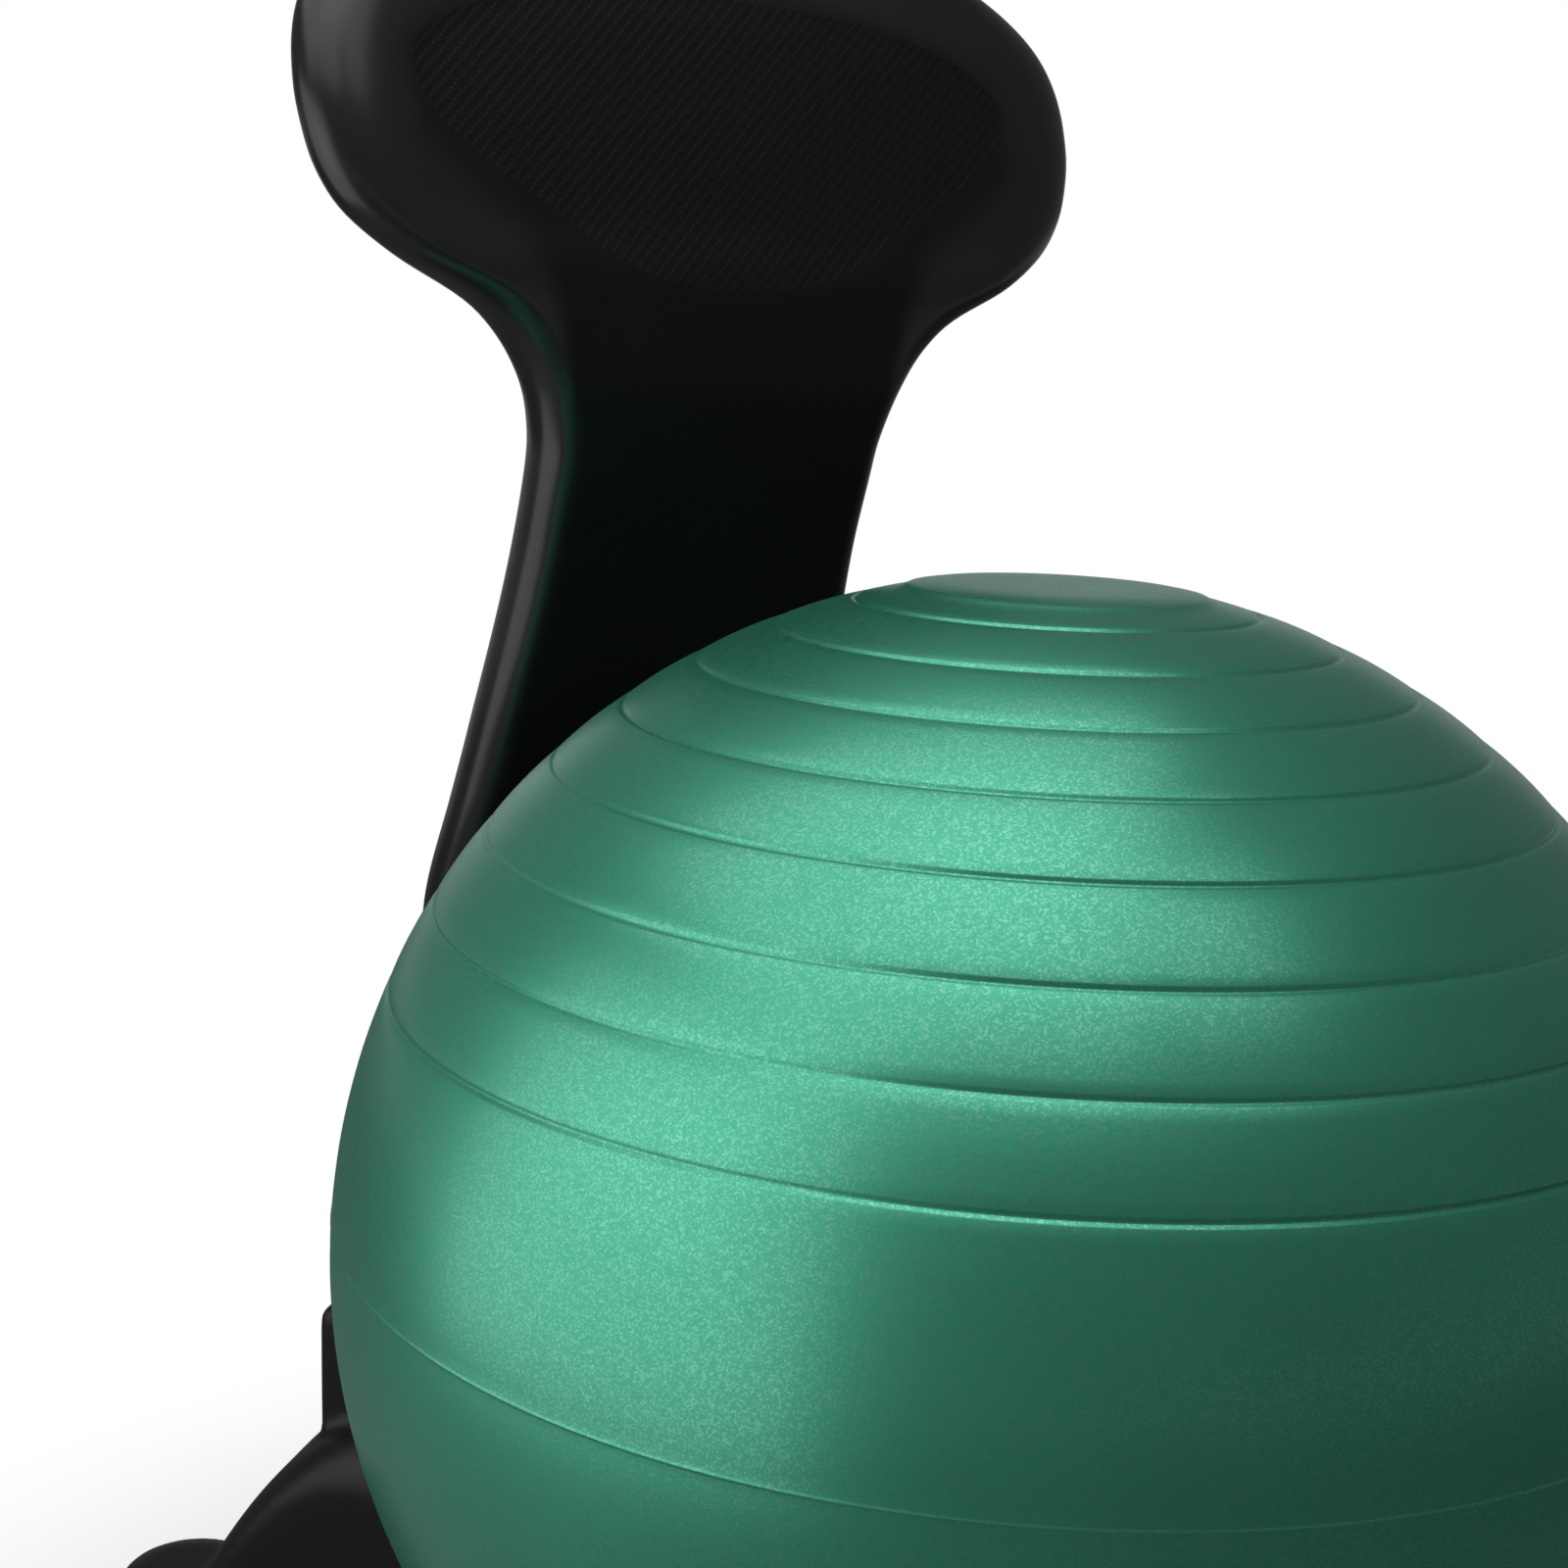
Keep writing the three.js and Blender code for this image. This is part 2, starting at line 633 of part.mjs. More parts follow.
// Steel stem: its upper part is held in the sleeve and the caster turns round its lower part
function casterStem() {
  const tip = stemRadius / 4;
  const flangeTop = stemFlangeBottom + stemFlangeThickness;
  const outline = [
    [0, stemFoot + seatGap], [stemRadius, stemFoot + seatGap], [stemRadius, stemFlangeBottom],
    [stemFlangeRadius, stemFlangeBottom], [stemFlangeRadius, flangeTop], [stemRadius, flangeTop],
    [stemRadius, flangeTop + stemReach - tip], [stemRadius - tip, flangeTop + stemReach],
    [0, flangeTop + stemReach],
  ];
  return revolve(outline, 16);
}

// Upright plate between the wheels, from the swivel boss down to the axle
function webShape() {
  const shape = new THREE.Shape();
  const front = -webWidth / 2 - cutOver / 2;
  shape.moveTo(front, housingTop - cutOver);
  shape.lineTo(front, wheelRadius + axleBossRadius);
  shape.absarc(casterTrail, wheelRadius, axleBossRadius, radians(-130), radians(20), false);
  shape.lineTo(casterTrail, wheelRadius + hoodInnerRadius - cutOver);
  shape.lineTo(webWidth / 2, housingTop - cutOver);
  return shape;
}

// Places on the hood's rim, seen from the axle, at an angle above the rear
function fromAxle(angle, distance) {
  const turn = radians(angle);
  return [casterTrail + distance * Math.cos(turn), wheelRadius + distance * Math.sin(turn)];
}

const brakePivot = fromAxle(brakeAngle, hoodOuterRadius + brakePivotRise);

function plateAt(shape, halfWidth, centreX) {
  return solidOf(plateX(shape, halfWidth, 6).translate(centreX, 0, 0));
}

// Ear on the hood that holds one end of the brake lever's pin
function brakeEar(side) {
  const shape = new THREE.Shape();
  const earRoot = hoodInnerRadius + hoodWall / 3;
  const low = fromAxle(brakeAngle - brakeEarSpread, earRoot);
  const high = fromAxle(brakeAngle + brakeEarSpread, earRoot);
  shape.moveTo(...low);
  shape.absarc(...brakePivot, brakeHubRadius, radians(brakeAngle - 75), radians(brakeAngle + 75), false);
  shape.lineTo(...high);
  const centre = brakeHalfWidth + seatGap + brakeEarThickness / 2;
  return plateAt(shape, brakeEarThickness / 2, side * centre);
}

// Opening in the hood for the brake lever's tail
function brakeSlot() {
  const shape = new THREE.Shape();
  shape.moveTo(...fromAxle(brakeAngle - brakeSlotSpread, hoodInnerRadius - cutOver));
  shape.lineTo(...fromAxle(brakeAngle - brakeSlotSpread, hoodOuterRadius + cutOver));
  shape.lineTo(...fromAxle(brakeAngle + brakeSlotSpread, hoodOuterRadius + cutOver));
  shape.lineTo(...fromAxle(brakeAngle + brakeSlotSpread, hoodInnerRadius - cutOver));
  return plateAt(shape, brakeTailHalfWidth + brakeTailPlay, 0);
}

// Hooded housing that turns about the stem and carries the axle
function casterHousing(withBrake) {
  const axleAt = (geometry) => solidOf(geometry.translate(0, casterTrail, wheelRadius));
  const hoodBox = new THREE.BoxGeometry(2 * hoodHalfWidth, 2 * hoodOuterRadius, hoodOuterRadius);
  const above = hoodSkirtHeight + hoodOuterRadius / 2;
  const hood = axleAt(cylinderX(hoodOuterRadius, hoodHalfWidth, 32))
    .intersect(solidOf(hoodBox.translate(0, casterTrail, above)));
  const boss = solidOf(cylinderZ(swivelBossRadius, hoodSkirtHeight + hoodWall, housingTop, 20));
  const wheelSpace = axleAt(cylinderX(hoodInnerRadius, hoodHalfWidth + cutOver, 32));
  const shell = hood.add(boss).subtract(wheelSpace);
  const ears = withBrake ? [brakeEar(-1), brakeEar(1)] : [];
  const body = joined([shell, plateAt(webShape(), webWidth / 2, 0), ...ears]);
  const stemBore = solidOf(cylinderZ(stemRadius + runGap, stemFoot, housingTop + cutOver, 16));
  const axleBore = axleAt(cylinderX(axleRadius + seatGap, webWidth, 12));
  const cutters = [stemBore, axleBore];
  if (withBrake) {
    const pinBore = cylinderX(brakePinRadius + seatGap, hoodHalfWidth, 8).translate(0, ...brakePivot);
    cutters.push(brakeSlot(), solidOf(pinBore));
  }
  return geometryOf(cut(body, cutters));
}

function casterAxle() {
  return cylinderX(axleRadius, hoodHalfWidth, 12).translate(0, casterTrail, wheelRadius);
}

// Wheel with a rounded tread and a dished outer face, turned about X
function casterWheel(side) {
  const bore = axleRadius + runGap;
  const outline = [
    [bore, 0], [wheelRadius - wheelShoulder, 0], [wheelRadius, wheelShoulder],
    [wheelRadius, wheelWidth - wheelShoulder], [wheelRadius - wheelShoulder, wheelWidth],
    [wheelRadius - wheelRim, wheelWidth], [wheelRadius - wheelRim - wheelShoulder, wheelWidth - wheelDish],
    [bore, wheelWidth - wheelDish],
  ];
  const turned = revolve(closedRing(outline), wheelSegments).translate(0, 0, wheelInnerFace);
  const wheel = turned.rotateY(side * Math.PI / 2).translate(0, casterTrail, wheelRadius);
  return geometryOf(solidOf(wheel));
}

// Foot lever: a tread outside the hood and a tail that reaches in between the wheels
function brakeLever() {
  const [y, z] = brakePivot;
  const tread = new THREE.Shape();
  const lift = radians(brakePadLift);
  const out = (along, up) => [
    y + along * Math.cos(lift) - up * Math.sin(lift), z + along * Math.sin(lift) + up * Math.cos(lift),
  ];
  tread.moveTo(...out(0, brakeHubRadius - brakePadThickness));
  tread.lineTo(...out(brakePadLength, brakeHubRadius - brakePadThickness));
  tread.lineTo(...out(brakePadLength, brakeHubRadius));
  tread.lineTo(...out(0, brakeHubRadius));
  const hub = solidOf(cylinderX(brakeHubRadius, brakeHalfWidth, 12).translate(0, y, z));
  const tail = new THREE.Shape();
  const [inY, inZ] = [-Math.cos(radians(brakeAngle)), -Math.sin(radians(brakeAngle))];
  const half = brakeTailThickness / 2;
  const tailAt = (along, across) => [y + inY * along - inZ * across, z + inZ * along + inY * across];
  tail.moveTo(...tailAt(0, -half));
  tail.lineTo(...tailAt(brakeTailDepth, -half));
  tail.lineTo(...tailAt(brakeTailDepth, half));
  tail.lineTo(...tailAt(0, half));
  const pinBore = solidOf(cylinderX(brakePinRadius + runGap, hoodHalfWidth, 8).translate(0, y, z));
  const body = hub.add(plateAt(tread, brakeHalfWidth, 0)).add(plateAt(tail, brakeTailHalfWidth, 0));
  return geometryOf(body.subtract(pinBore));
}

function brakePin() {
  const halfLength = brakeHalfWidth + seatGap + brakeEarThickness;
  return cylinderX(brakePinRadius, halfLength, 8).translate(0, ...brakePivot);
}

function piece(name, geometry, material) {
  const mesh = new THREE.Mesh(closedGeometry(geometry), material);
  mesh.geometry.computeVertexNormals();
  mesh.name = name;
  return mesh;
}

// A caster's pieces share a group that stands at the stem and is turned about it
function caster(place) {
  const group = new THREE.Group();
  group.position.set(place.x, place.y, 0);
  group.rotation.z = radians(place.turn);
  const named = (part) => `${part}_${place.name}`;
  group.add(piece(named('stem_sleeve'), stemSleeve(), materials.zincSteel));
  group.add(piece(named('caster_stem'), casterStem(), materials.zincSteel));
  group.add(piece(named('caster_housing'), casterHousing(place.brake), materials.blackNylon));
  group.add(piece(named('caster_axle'), casterAxle(), materials.zincSteel));
  const outerSide = Math.sign(place.x);
  group.add(piece(named('wheel_outer'), casterWheel(outerSide), materials.wheelNylon));
  group.add(piece(named('wheel_inner'), casterWheel(-outerSide), materials.wheelNylon));
  if (place.brake) {
    group.add(piece(named('brake_lever'), brakeLever(), materials.blackNylon));
    group.add(piece(named('brake_pin'), brakePin(), materials.zincSteel));
  }
  return group;
}

function backFixings() {
  const group = new THREE.Group();
  for (const [side, x] of boltPlaces) {
    const pieces = [
      piece(`back_bolt_${side}`, backBolt(), materials.blackSteel),
      piece(`back_washer_${side}`, backWasher(), materials.blackSteel),
      piece(`back_nut_${side}`, backNut(), materials.zincSteel),
    ];
    for (const fixing of pieces) fixing.position.set(x, 0, boltHeight);
    group.add(...pieces);
  }
  return group;
}

const chair = new THREE.Group();
chair.add(piece('base_frame', baseFrame(), materials.blackPlastic));
chair.add(piece('ball', ballShell(), materials.pearlVinyl));
chair.add(piece('air_plug', airPlug(), materials.whitePlastic));
chair.add(piece('backrest', backrest(), materials.blackPlastic));
chair.add(backFixings());
chair.add(...casterPlaces.map(caster));

// The origin is on the floor under the middle of the whole chair's length
chair.updateMatrixWorld(true);
const extent = new THREE.Box3().setFromObject(chair, true);
chair.position.y = -(extent.min.y + extent.max.y) / 2;

export default chair;
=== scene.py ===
# Balance ball chair: a pearl green inflated ball in a black moulded base on twin wheel casters,
# with a moulded backrest that rises from a socket behind the ball.
# Lengths are metres. +Z is up and the sitter faces -Y.
import math

import bmesh
import bpy
import numpy as np
from bpy.props import FloatProperty, FloatVectorProperty, IntProperty, PointerProperty
from mathutils import Matrix, Vector


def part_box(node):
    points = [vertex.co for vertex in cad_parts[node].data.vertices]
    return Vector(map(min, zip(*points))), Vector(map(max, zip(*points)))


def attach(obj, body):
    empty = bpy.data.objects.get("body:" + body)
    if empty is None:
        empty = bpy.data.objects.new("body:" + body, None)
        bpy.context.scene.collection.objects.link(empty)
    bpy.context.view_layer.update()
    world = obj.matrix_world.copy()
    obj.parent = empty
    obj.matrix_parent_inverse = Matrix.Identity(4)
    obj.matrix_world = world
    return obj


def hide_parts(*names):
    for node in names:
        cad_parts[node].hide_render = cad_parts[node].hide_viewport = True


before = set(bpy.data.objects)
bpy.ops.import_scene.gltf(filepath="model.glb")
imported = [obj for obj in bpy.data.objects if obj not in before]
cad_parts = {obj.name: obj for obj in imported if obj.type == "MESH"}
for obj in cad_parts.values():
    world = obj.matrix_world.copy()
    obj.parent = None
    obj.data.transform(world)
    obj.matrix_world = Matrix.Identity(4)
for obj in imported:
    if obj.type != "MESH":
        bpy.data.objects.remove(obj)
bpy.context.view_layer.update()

bl_info = {
    "name": "Balance Ball Chair",
    "version": (1, 0, 0),
    "blender": (4, 5, 0),
    "location": "View3D > Sidebar > Ball Chair",
    "description": "Models the ball, the backrest, the base and the casters of a balance ball chair",
    "category": "Add Mesh",
}


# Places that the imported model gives

def middle(node):
    """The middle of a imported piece's box."""
    low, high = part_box(node)
    return (low + high) / 2


BALL_LOW, BALL_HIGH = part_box("ball")
BACK_LOW, BACK_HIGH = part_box("backrest")
AXIS_Y = middle("ball").y
AT_AXIS = Matrix.Translation((0, AXIS_Y, 0))
CORNERS = ("front_left", "front_right", "rear_left", "rear_right")
FINISHES = {}
SLOTS = {"moulded_black": "black_plastic", "back_black": "black_plastic", "satin_nylon": "black_nylon",
         "soft_white": "white_plastic"}


# Settings that a user would change

def chair():
    return bpy.context.scene.ball_chair


def size(name, text, default):
    return FloatProperty(name=name, description=text, default=default, unit="LENGTH", precision=4)


def share(name, text, default):
    return FloatProperty(name=name, description=text, default=default, min=0, max=1)


def angle(name, text, degrees):
    return FloatProperty(name=name, description=text, default=math.radians(degrees), subtype="ANGLE")


def power(name, text, default):
    return FloatProperty(name=name, description=text, default=default, min=0, subtype="POWER")


def colour(name, text, default):
    return FloatVectorProperty(name=name, description=text, default=default, size=3, subtype="COLOR",
                               min=0, max=1)


class BallSettings(bpy.types.PropertyGroup):
    cap_radius: size("Cap radius", "Radius of the raised cap at the ball's poles", 0.0545)
    cap_rise: size("Cap rise", "Height of the cap's shoulder over the ball", 0.0011)
    ring_width: size("Ring width", "Width of each moulded ring round the ball", 0.0038)
    ring_depth: size("Ring depth", "Depth of each moulded ring", 0.0009)
    band_bulge: size("Band bulge", "How far the skin swells between two rings", 0.0003)
    seam_latitude: angle("Seam latitude", "Height of the mould seam over the ball's equator", 2.8)
    seam_width: size("Seam width", "Width of the mould seam", 0.0013)
    seam_rise: size("Seam rise", "Height of the mould seam", 0.00026)
    segments: IntProperty(name="Segments", description="Faces round the ball", default=160, min=24)
    skin: colour("Skin", "Colour of the pearl skin", (0.055, 0.43, 0.275))
    fleck: colour("Fleck", "Colour of the pearl flecks", (0.50, 0.82, 0.68))


class BackSettings(bpy.types.PropertyGroup):
    edge_round: size("Edge round", "Rounding of the foot's edges", 0.0165)
    gloss_rim: size("Gloss rim", "Width of the glossy rim round the pad", 0.055)
    neck_gloss: size("Neck gloss", "Width of the glossy rim down the neck", 0.013)
    wing_forward: size("Wing forward", "How far the pad's wings come forward", 0.009)
    panel_inset: size("Panel inset", "Width of the plain rim round the textured panel", 0.043)
    panel_depth: size("Panel depth", "Depth of the textured panel below the rim", 0.0011)
    panel_foot: size("Panel foot", "Height of the textured panel's lower end", 0.655)
    grid_pitch: size("Grid pitch", "Pitch of the panel's moulded dots", 0.0042)
    plastic: colour("Plastic", "Colour of the black plastic", (0.0068, 0.0068, 0.007))


class BaseSettings(bpy.types.PropertyGroup):
    blend_size: size("Blend size", "Size of the fillets between the bowl, the legs and the collar", 0.0032)
    wall: size("Wall", "Thickness of the moulded walls", 0.004)
    bowl_wall: size("Bowl wall", "Thickness of the bowl", 0.006)
    fit: size("Fit", "Gap between pieces that seat on each other", 0.0003)


class CasterSettings(bpy.types.PropertyGroup):
    tread_groove: size("Tread groove", "Depth of the line round each wheel's tread", 0.0005)
    edge_round: size("Edge round", "Rounding of the housing's edges", 0.0008)


class StageSettings(bpy.types.PropertyGroup):
    floor_radius: size("Floor radius", "Radius of the pale floor", 12.0)
    world_level: share("World level", "Brightness of the room round the chair", 0.13)
    side_power: power("Side power", "Power of the soft box at the left", 1.93)
    corner_power: power("Corner power", "Power of the small box beside the overhead one", 0.8)
    core_power: power("Core power", "Power of the bright middle of the overhead box", 0.36)
    top_power: power("Top power", "Power of the soft box overhead", 7.5)


class ChairSettings(bpy.types.PropertyGroup):
    ball: PointerProperty(type=BallSettings)
    back: PointerProperty(type=BackSettings)
    base: PointerProperty(type=BaseSettings)
    caster: PointerProperty(type=CasterSettings)
    stage: PointerProperty(type=StageSettings)


# Mesh tools

def deselect():
    active = bpy.context.view_layer.objects.active
    if active and active.mode != "OBJECT":
        bpy.ops.object.mode_set(mode="OBJECT")
    bpy.ops.object.select_all(action="DESELECT")


def choose(*pieces):
    deselect()
    for piece in pieces:
        piece.select_set(True)
    bpy.context.view_layer.objects.active = pieces[0]


class editing:
    """Edit mode on one piece, with nothing or everything selected."""

    def __init__(self, piece, everything=False):
        self.piece = piece
        self.start = "SELECT" if everything else "DESELECT"

    def __enter__(self):
        choose(self.piece)
        bpy.ops.object.mode_set(mode="EDIT")
        bpy.ops.mesh.select_mode(type="VERT")
        bpy.ops.mesh.select_all(action=self.start)
        return self

    def __exit__(self, *problem):
        bpy.ops.object.mode_set(mode="OBJECT")

    def pick(self, wanted):
        """Selects the edges that pass a test, and says how many."""
        bpy.ops.mesh.select_all(action="DESELECT")
        bpy.ops.mesh.select_mode(type="EDGE")
        mesh = bmesh.from_edit_mesh(self.piece.data)
        found = [edge for edge in mesh.edges if wanted(edge)]
        for edge in found:
            edge.select_set(True)
        mesh.select_flush_mode()
        bmesh.update_edit_mesh(self.piece.data)
        return len(found)


def named(name):
    piece = bpy.context.object
    piece.name = piece.data.name = name
    return piece


def settle(piece):
    """Puts a piece's place into its mesh, with its object at the origin."""
    choose(piece)
    bpy.ops.object.transform_apply(location=True, rotation=True, scale=True)
    return piece


def bar(name, radius, place, length, axis="Z", vertices=48):
    """A round bar with its middle at a place."""
    turn = {"X": (0, math.pi / 2, 0), "Y": (math.pi / 2, 0, 0), "Z": (0, 0, 0)}[axis]
    deselect()
    bpy.ops.mesh.primitive_cylinder_add(vertices=vertices, radius=radius, depth=length, location=place,
                                        rotation=turn)
    return settle(named(name))


def block(name, low, high):
    """A box between two corners."""
    low, high = Vector(low), Vector(high)
    deselect()
    bpy.ops.mesh.primitive_cube_add(size=1, location=(low + high) / 2)
    piece = named(name)
    piece.scale = high - low
    return settle(piece)


def moved(piece, matrix):
    """Puts a piece where a matrix says."""
    piece.matrix_world = matrix
    return settle(piece)


def chain(name, points, closed=False):
    """A line of vertices through points, each one extruded from the last."""
    deselect()
    bpy.ops.mesh.primitive_plane_add(size=0.001, location=(0, 0, 0), enter_editmode=True)
    bpy.ops.mesh.select_mode(type="VERT")
    bpy.ops.mesh.select_all(action="SELECT")
    bpy.ops.mesh.merge(type="CENTER")
    bpy.ops.transform.translate(value=points[0])
    for before, after in zip(points, points[1:]):
        step = Vector(after) - Vector(before)
        bpy.ops.mesh.extrude_region_move(TRANSFORM_OT_translate={"value": step})
    if closed:
        bpy.ops.mesh.select_all(action="SELECT")
        bpy.ops.mesh.edge_face_add()
    bpy.ops.object.mode_set(mode="OBJECT")
    return named(name)


def tidy(piece, merge=1e-6):
    """Merges points that meet and turns every face outward."""
    with editing(piece, everything=True):
        bpy.ops.mesh.remove_doubles(threshold=merge)
        bpy.ops.mesh.dissolve_degenerate(threshold=merge)
        bpy.ops.mesh.normals_make_consistent(inside=False)
    return piece


def turned(name, outline, steps, sweep=2 * math.pi):
    """A shape turned about Z from points of radius and height."""
    piece = chain(name, [(radius, 0, height) for radius, height in outline])
    with editing(piece, everything=True):
        bpy.ops.mesh.spin(steps=steps, angle=sweep, center=(0, 0, 0), axis=(0, 0, 1))
    return tidy(piece)


def arc(centre, radius, start, stop, steps):
    """Points along an arc between two angles in degrees."""
    angles = [math.radians(start + (stop - start) * i / steps) for i in range(steps + 1)]
    return [(centre[0] + radius * math.cos(a), centre[1] + radius * math.sin(a)) for a in angles]


def plate(name, outline, half):
    """A plate across X with an outline of points of Y and Z."""
    piece = chain(name, [(-half, y, z) for y, z in outline], closed=True)
    with editing(piece, everything=True):
        bpy.ops.mesh.extrude_region_move(TRANSFORM_OT_translate={"value": (2 * half, 0, 0)})
    return tidy(piece)


def rim_round(piece, width, segments, wanted):
    """Rounds the edges that pass a test."""
    with editing(piece) as work:
        if work.pick(wanted):
            bpy.ops.mesh.bevel(offset=width, segments=segments, affect="EDGES", clamp_overlap=True)
    return piece


def modify(piece, kind, **settings):
    """Adds a modifier and applies it."""
    choose(piece)
    bpy.ops.object.modifier_add(type=kind)
    modifier = piece.modifiers[-1]
    for name, value in settings.items():
        setattr(modifier, name, value)
    bpy.ops.object.modifier_apply(modifier=modifier.name)
    return piece


def closed(piece):
    """Whether every edge of a piece has two faces."""
    uses = {}
    for face in piece.data.polygons:
        for key in face.edge_keys:
            uses[key] = uses.get(key, 0) + 1
    return bool(uses) and all(count == 2 for count in uses.values())


def combine(piece, operation, *others):
    """Joins others to a piece, or cuts them out of it, and removes them."""
    for other in others:
        if not closed(other):
            raise RuntimeError(other.name + " is not closed")
        modify(piece, "BOOLEAN", operation=operation, solver="MANIFOLD", object=other)
        bpy.data.meshes.remove(other.data)
    if not closed(piece):
        raise RuntimeError(piece.name + " is not closed")
    return piece


def push(piece, direction, amount, weight):
    """Moves a piece's points along an axis or their normals, by amount times a weight from 0 to 1."""
    group = piece.vertex_groups.new(name="push")
    for vertex in piece.data.vertices:
        group.add([vertex.index], min(1.0, max(0.0, weight(vertex.co))), "REPLACE")
    modify(piece, "DISPLACE", direction=direction, strength=amount, mid_level=0, vertex_group=group.name)
    piece.vertex_groups.remove(piece.vertex_groups["push"])
    return piece


def smooth(piece, degrees=35):
    choose(piece)
    bpy.ops.object.shade_smooth_by_angle(angle=math.radians(degrees))
    return piece


def copied(piece, name, place):
    """A copy of a piece with its own mesh, set at a place."""
    twin = piece.copy()
    twin.data = piece.data.copy()
    bpy.context.scene.collection.objects.link(twin)
    twin.name = twin.data.name = name
    twin.matrix_world = place
    return settle(twin)


def remove(*pieces):
    for piece in pieces:
        bpy.data.meshes.remove(piece.data)


def finished(piece, body, node, finish, degrees=35):
    """Gives a finished piece its shading, its material and its body, and hides the imported node that it
    stands for.
    """
    smooth(piece, degrees)
    piece.data.materials.clear()
    piece.data.materials.append(FINISHES[finish])
    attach(piece, body)
    SLOTS.get(finish, finish)
    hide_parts(node)
    return piece


def stand(shape, name, place, body, node, finish, degrees=35):
    """Sets a finished copy of a shape at a place."""
    return finished(copied(shape, name, place), body, node, finish, degrees)


def eased(value, low, high):
    """0 below low, 1 above high, and a smooth rise between them."""
    t = min(1.0, max(0.0, (value - low) / (high - low)))
    return t * t * (3 - 2 * t)


def smooth_table(table, place):
    """A value read from a table along a smooth curve that doesn't overshoot."""
    last = len(table) - 1
    at = min(table[last][0], max(table[0][0], place))
    k = 0
    while k < last - 1 and at > table[k + 1][0]:
        k += 1

    def slope(i):
        return (table[i + 1][1] - table[i][1]) / (table[i + 1][0] - table[i][0])

    def tangent(i):
        if i in (0, last):
            return 0
        before, after = slope(i - 1), slope(i)
        return 0 if before * after <= 0 else 2 * before * after / (before + after)

    width = table[k + 1][0] - table[k][0]
    t = (at - table[k][0]) / width
    lead = t * (1 - t) ** 2 * tangent(k) - t * t * (1 - t) * tangent(k + 1)
    return table[k][1] + (table[k + 1][1] - table[k][1]) * t * t * (3 - 2 * t) + width * lead


# Shader tools

class Wire:
    """A socket of a node, on which sums are written as Python sums."""

    def __init__(self, sheet, socket):
        self.sheet = sheet
        self.socket = socket

    def _math(self, operation, *values):
        return self.sheet.node("ShaderNodeMath", {"operation": operation}, *values)

    def __add__(self, other):
        return self._math("ADD", self, other)

    def __radd__(self, other):
        return self._math("ADD", other, self)

    def __sub__(self, other):
        return self._math("SUBTRACT", self, other)

    def __rsub__(self, other):
        return self._math("SUBTRACT", other, self)

    def __mul__(self, other):
        return self._math("MULTIPLY", self, other)

    def __rmul__(self, other):
        return self._math("MULTIPLY", other, self)

    def power(self, exponent):
        return self._math("POWER", self, exponent)

    def sine(self):
        return self._math("SINE", self)

    def larger(self, other):
        return self._math("MAXIMUM", self, other)

    def step(self, low, high):
        """0 below low, 1 above high, and a smooth rise between them."""
        settings = {"interpolation_type": "SMOOTHSTEP"}
        return self.sheet.node("ShaderNodeMapRange", settings, self, low, high, 0, 1)


class Sheet:
    """The node tree of a material or of the world."""

    def __init__(self, tree):
        self.tree = tree
        self.tree.nodes.clear()

    def node(self, kind, settings=None, *values, out=0, **named_values):
        """Adds a node, sets it and its sockets, and gives one of its outputs."""
        node = self.tree.nodes.new(kind)
        for name, value in (settings or {}).items():
            setattr(node, name, value)
        live = [socket for socket in node.inputs if socket.enabled]
        for socket, value in zip(live, values):
            self.join(socket, value)
        for name, value in named_values.items():
            wanted = name.replace("_", " ")
            self.join(next(socket for socket in live if socket.name == wanted), value)
        if isinstance(out, str):
            return Wire(self, node.outputs[out])
        outputs = [socket for socket in node.outputs if socket.enabled]
        return Wire(self, outputs[out]) if outputs else None

    def join(self, socket, value):
        if isinstance(value, Wire):
            self.tree.links.new(value.socket, socket)
        elif hasattr(value, "__len__") and len(value) == 3 and len(socket.default_value) == 4:
            socket.default_value = (*value, 1)
        else:
            socket.default_value = value

    def place(self):
        return self.node("ShaderNodeTexCoord", out="Object")

    def axes(self):
        split = self.node("ShaderNodeSeparateXYZ", None, self.place())
        outputs = split.socket.node.outputs
        return [Wire(self, outputs[name]) for name in "XYZ"]

    def noise(self, scale, detail=2.0, roughness=0.5):
        return self.node("ShaderNodeTexNoise", None, self.place(), Scale=scale, Detail=detail,
                         Roughness=roughness)

    def mixed(self, factor, a, b):
        return self.node("ShaderNodeMix", {"data_type": "RGBA"}, factor, a, b)

    def bump(self, height, strength, distance):
        return self.node("ShaderNodeBump", None, Strength=strength, Distance=distance, Height=height)


def finish(name, build):
    """Makes a material whose sheet build fills: it gives the values and wires of the main shader."""
    material = bpy.data.materials.new(name)
    material.use_nodes = True
    sheet = Sheet(material.node_tree)
    shader = sheet.node("ShaderNodeBsdfPrincipled").socket.node
    for socket, value in build(sheet).items():
        sheet.join(shader.inputs[socket], value)
    sheet.node("ShaderNodeOutputMaterial", None, Wire(sheet, shader.outputs[0]))
    FINISHES[name] = material


def shade(colour, factor):
    return [value * factor for value in colour]


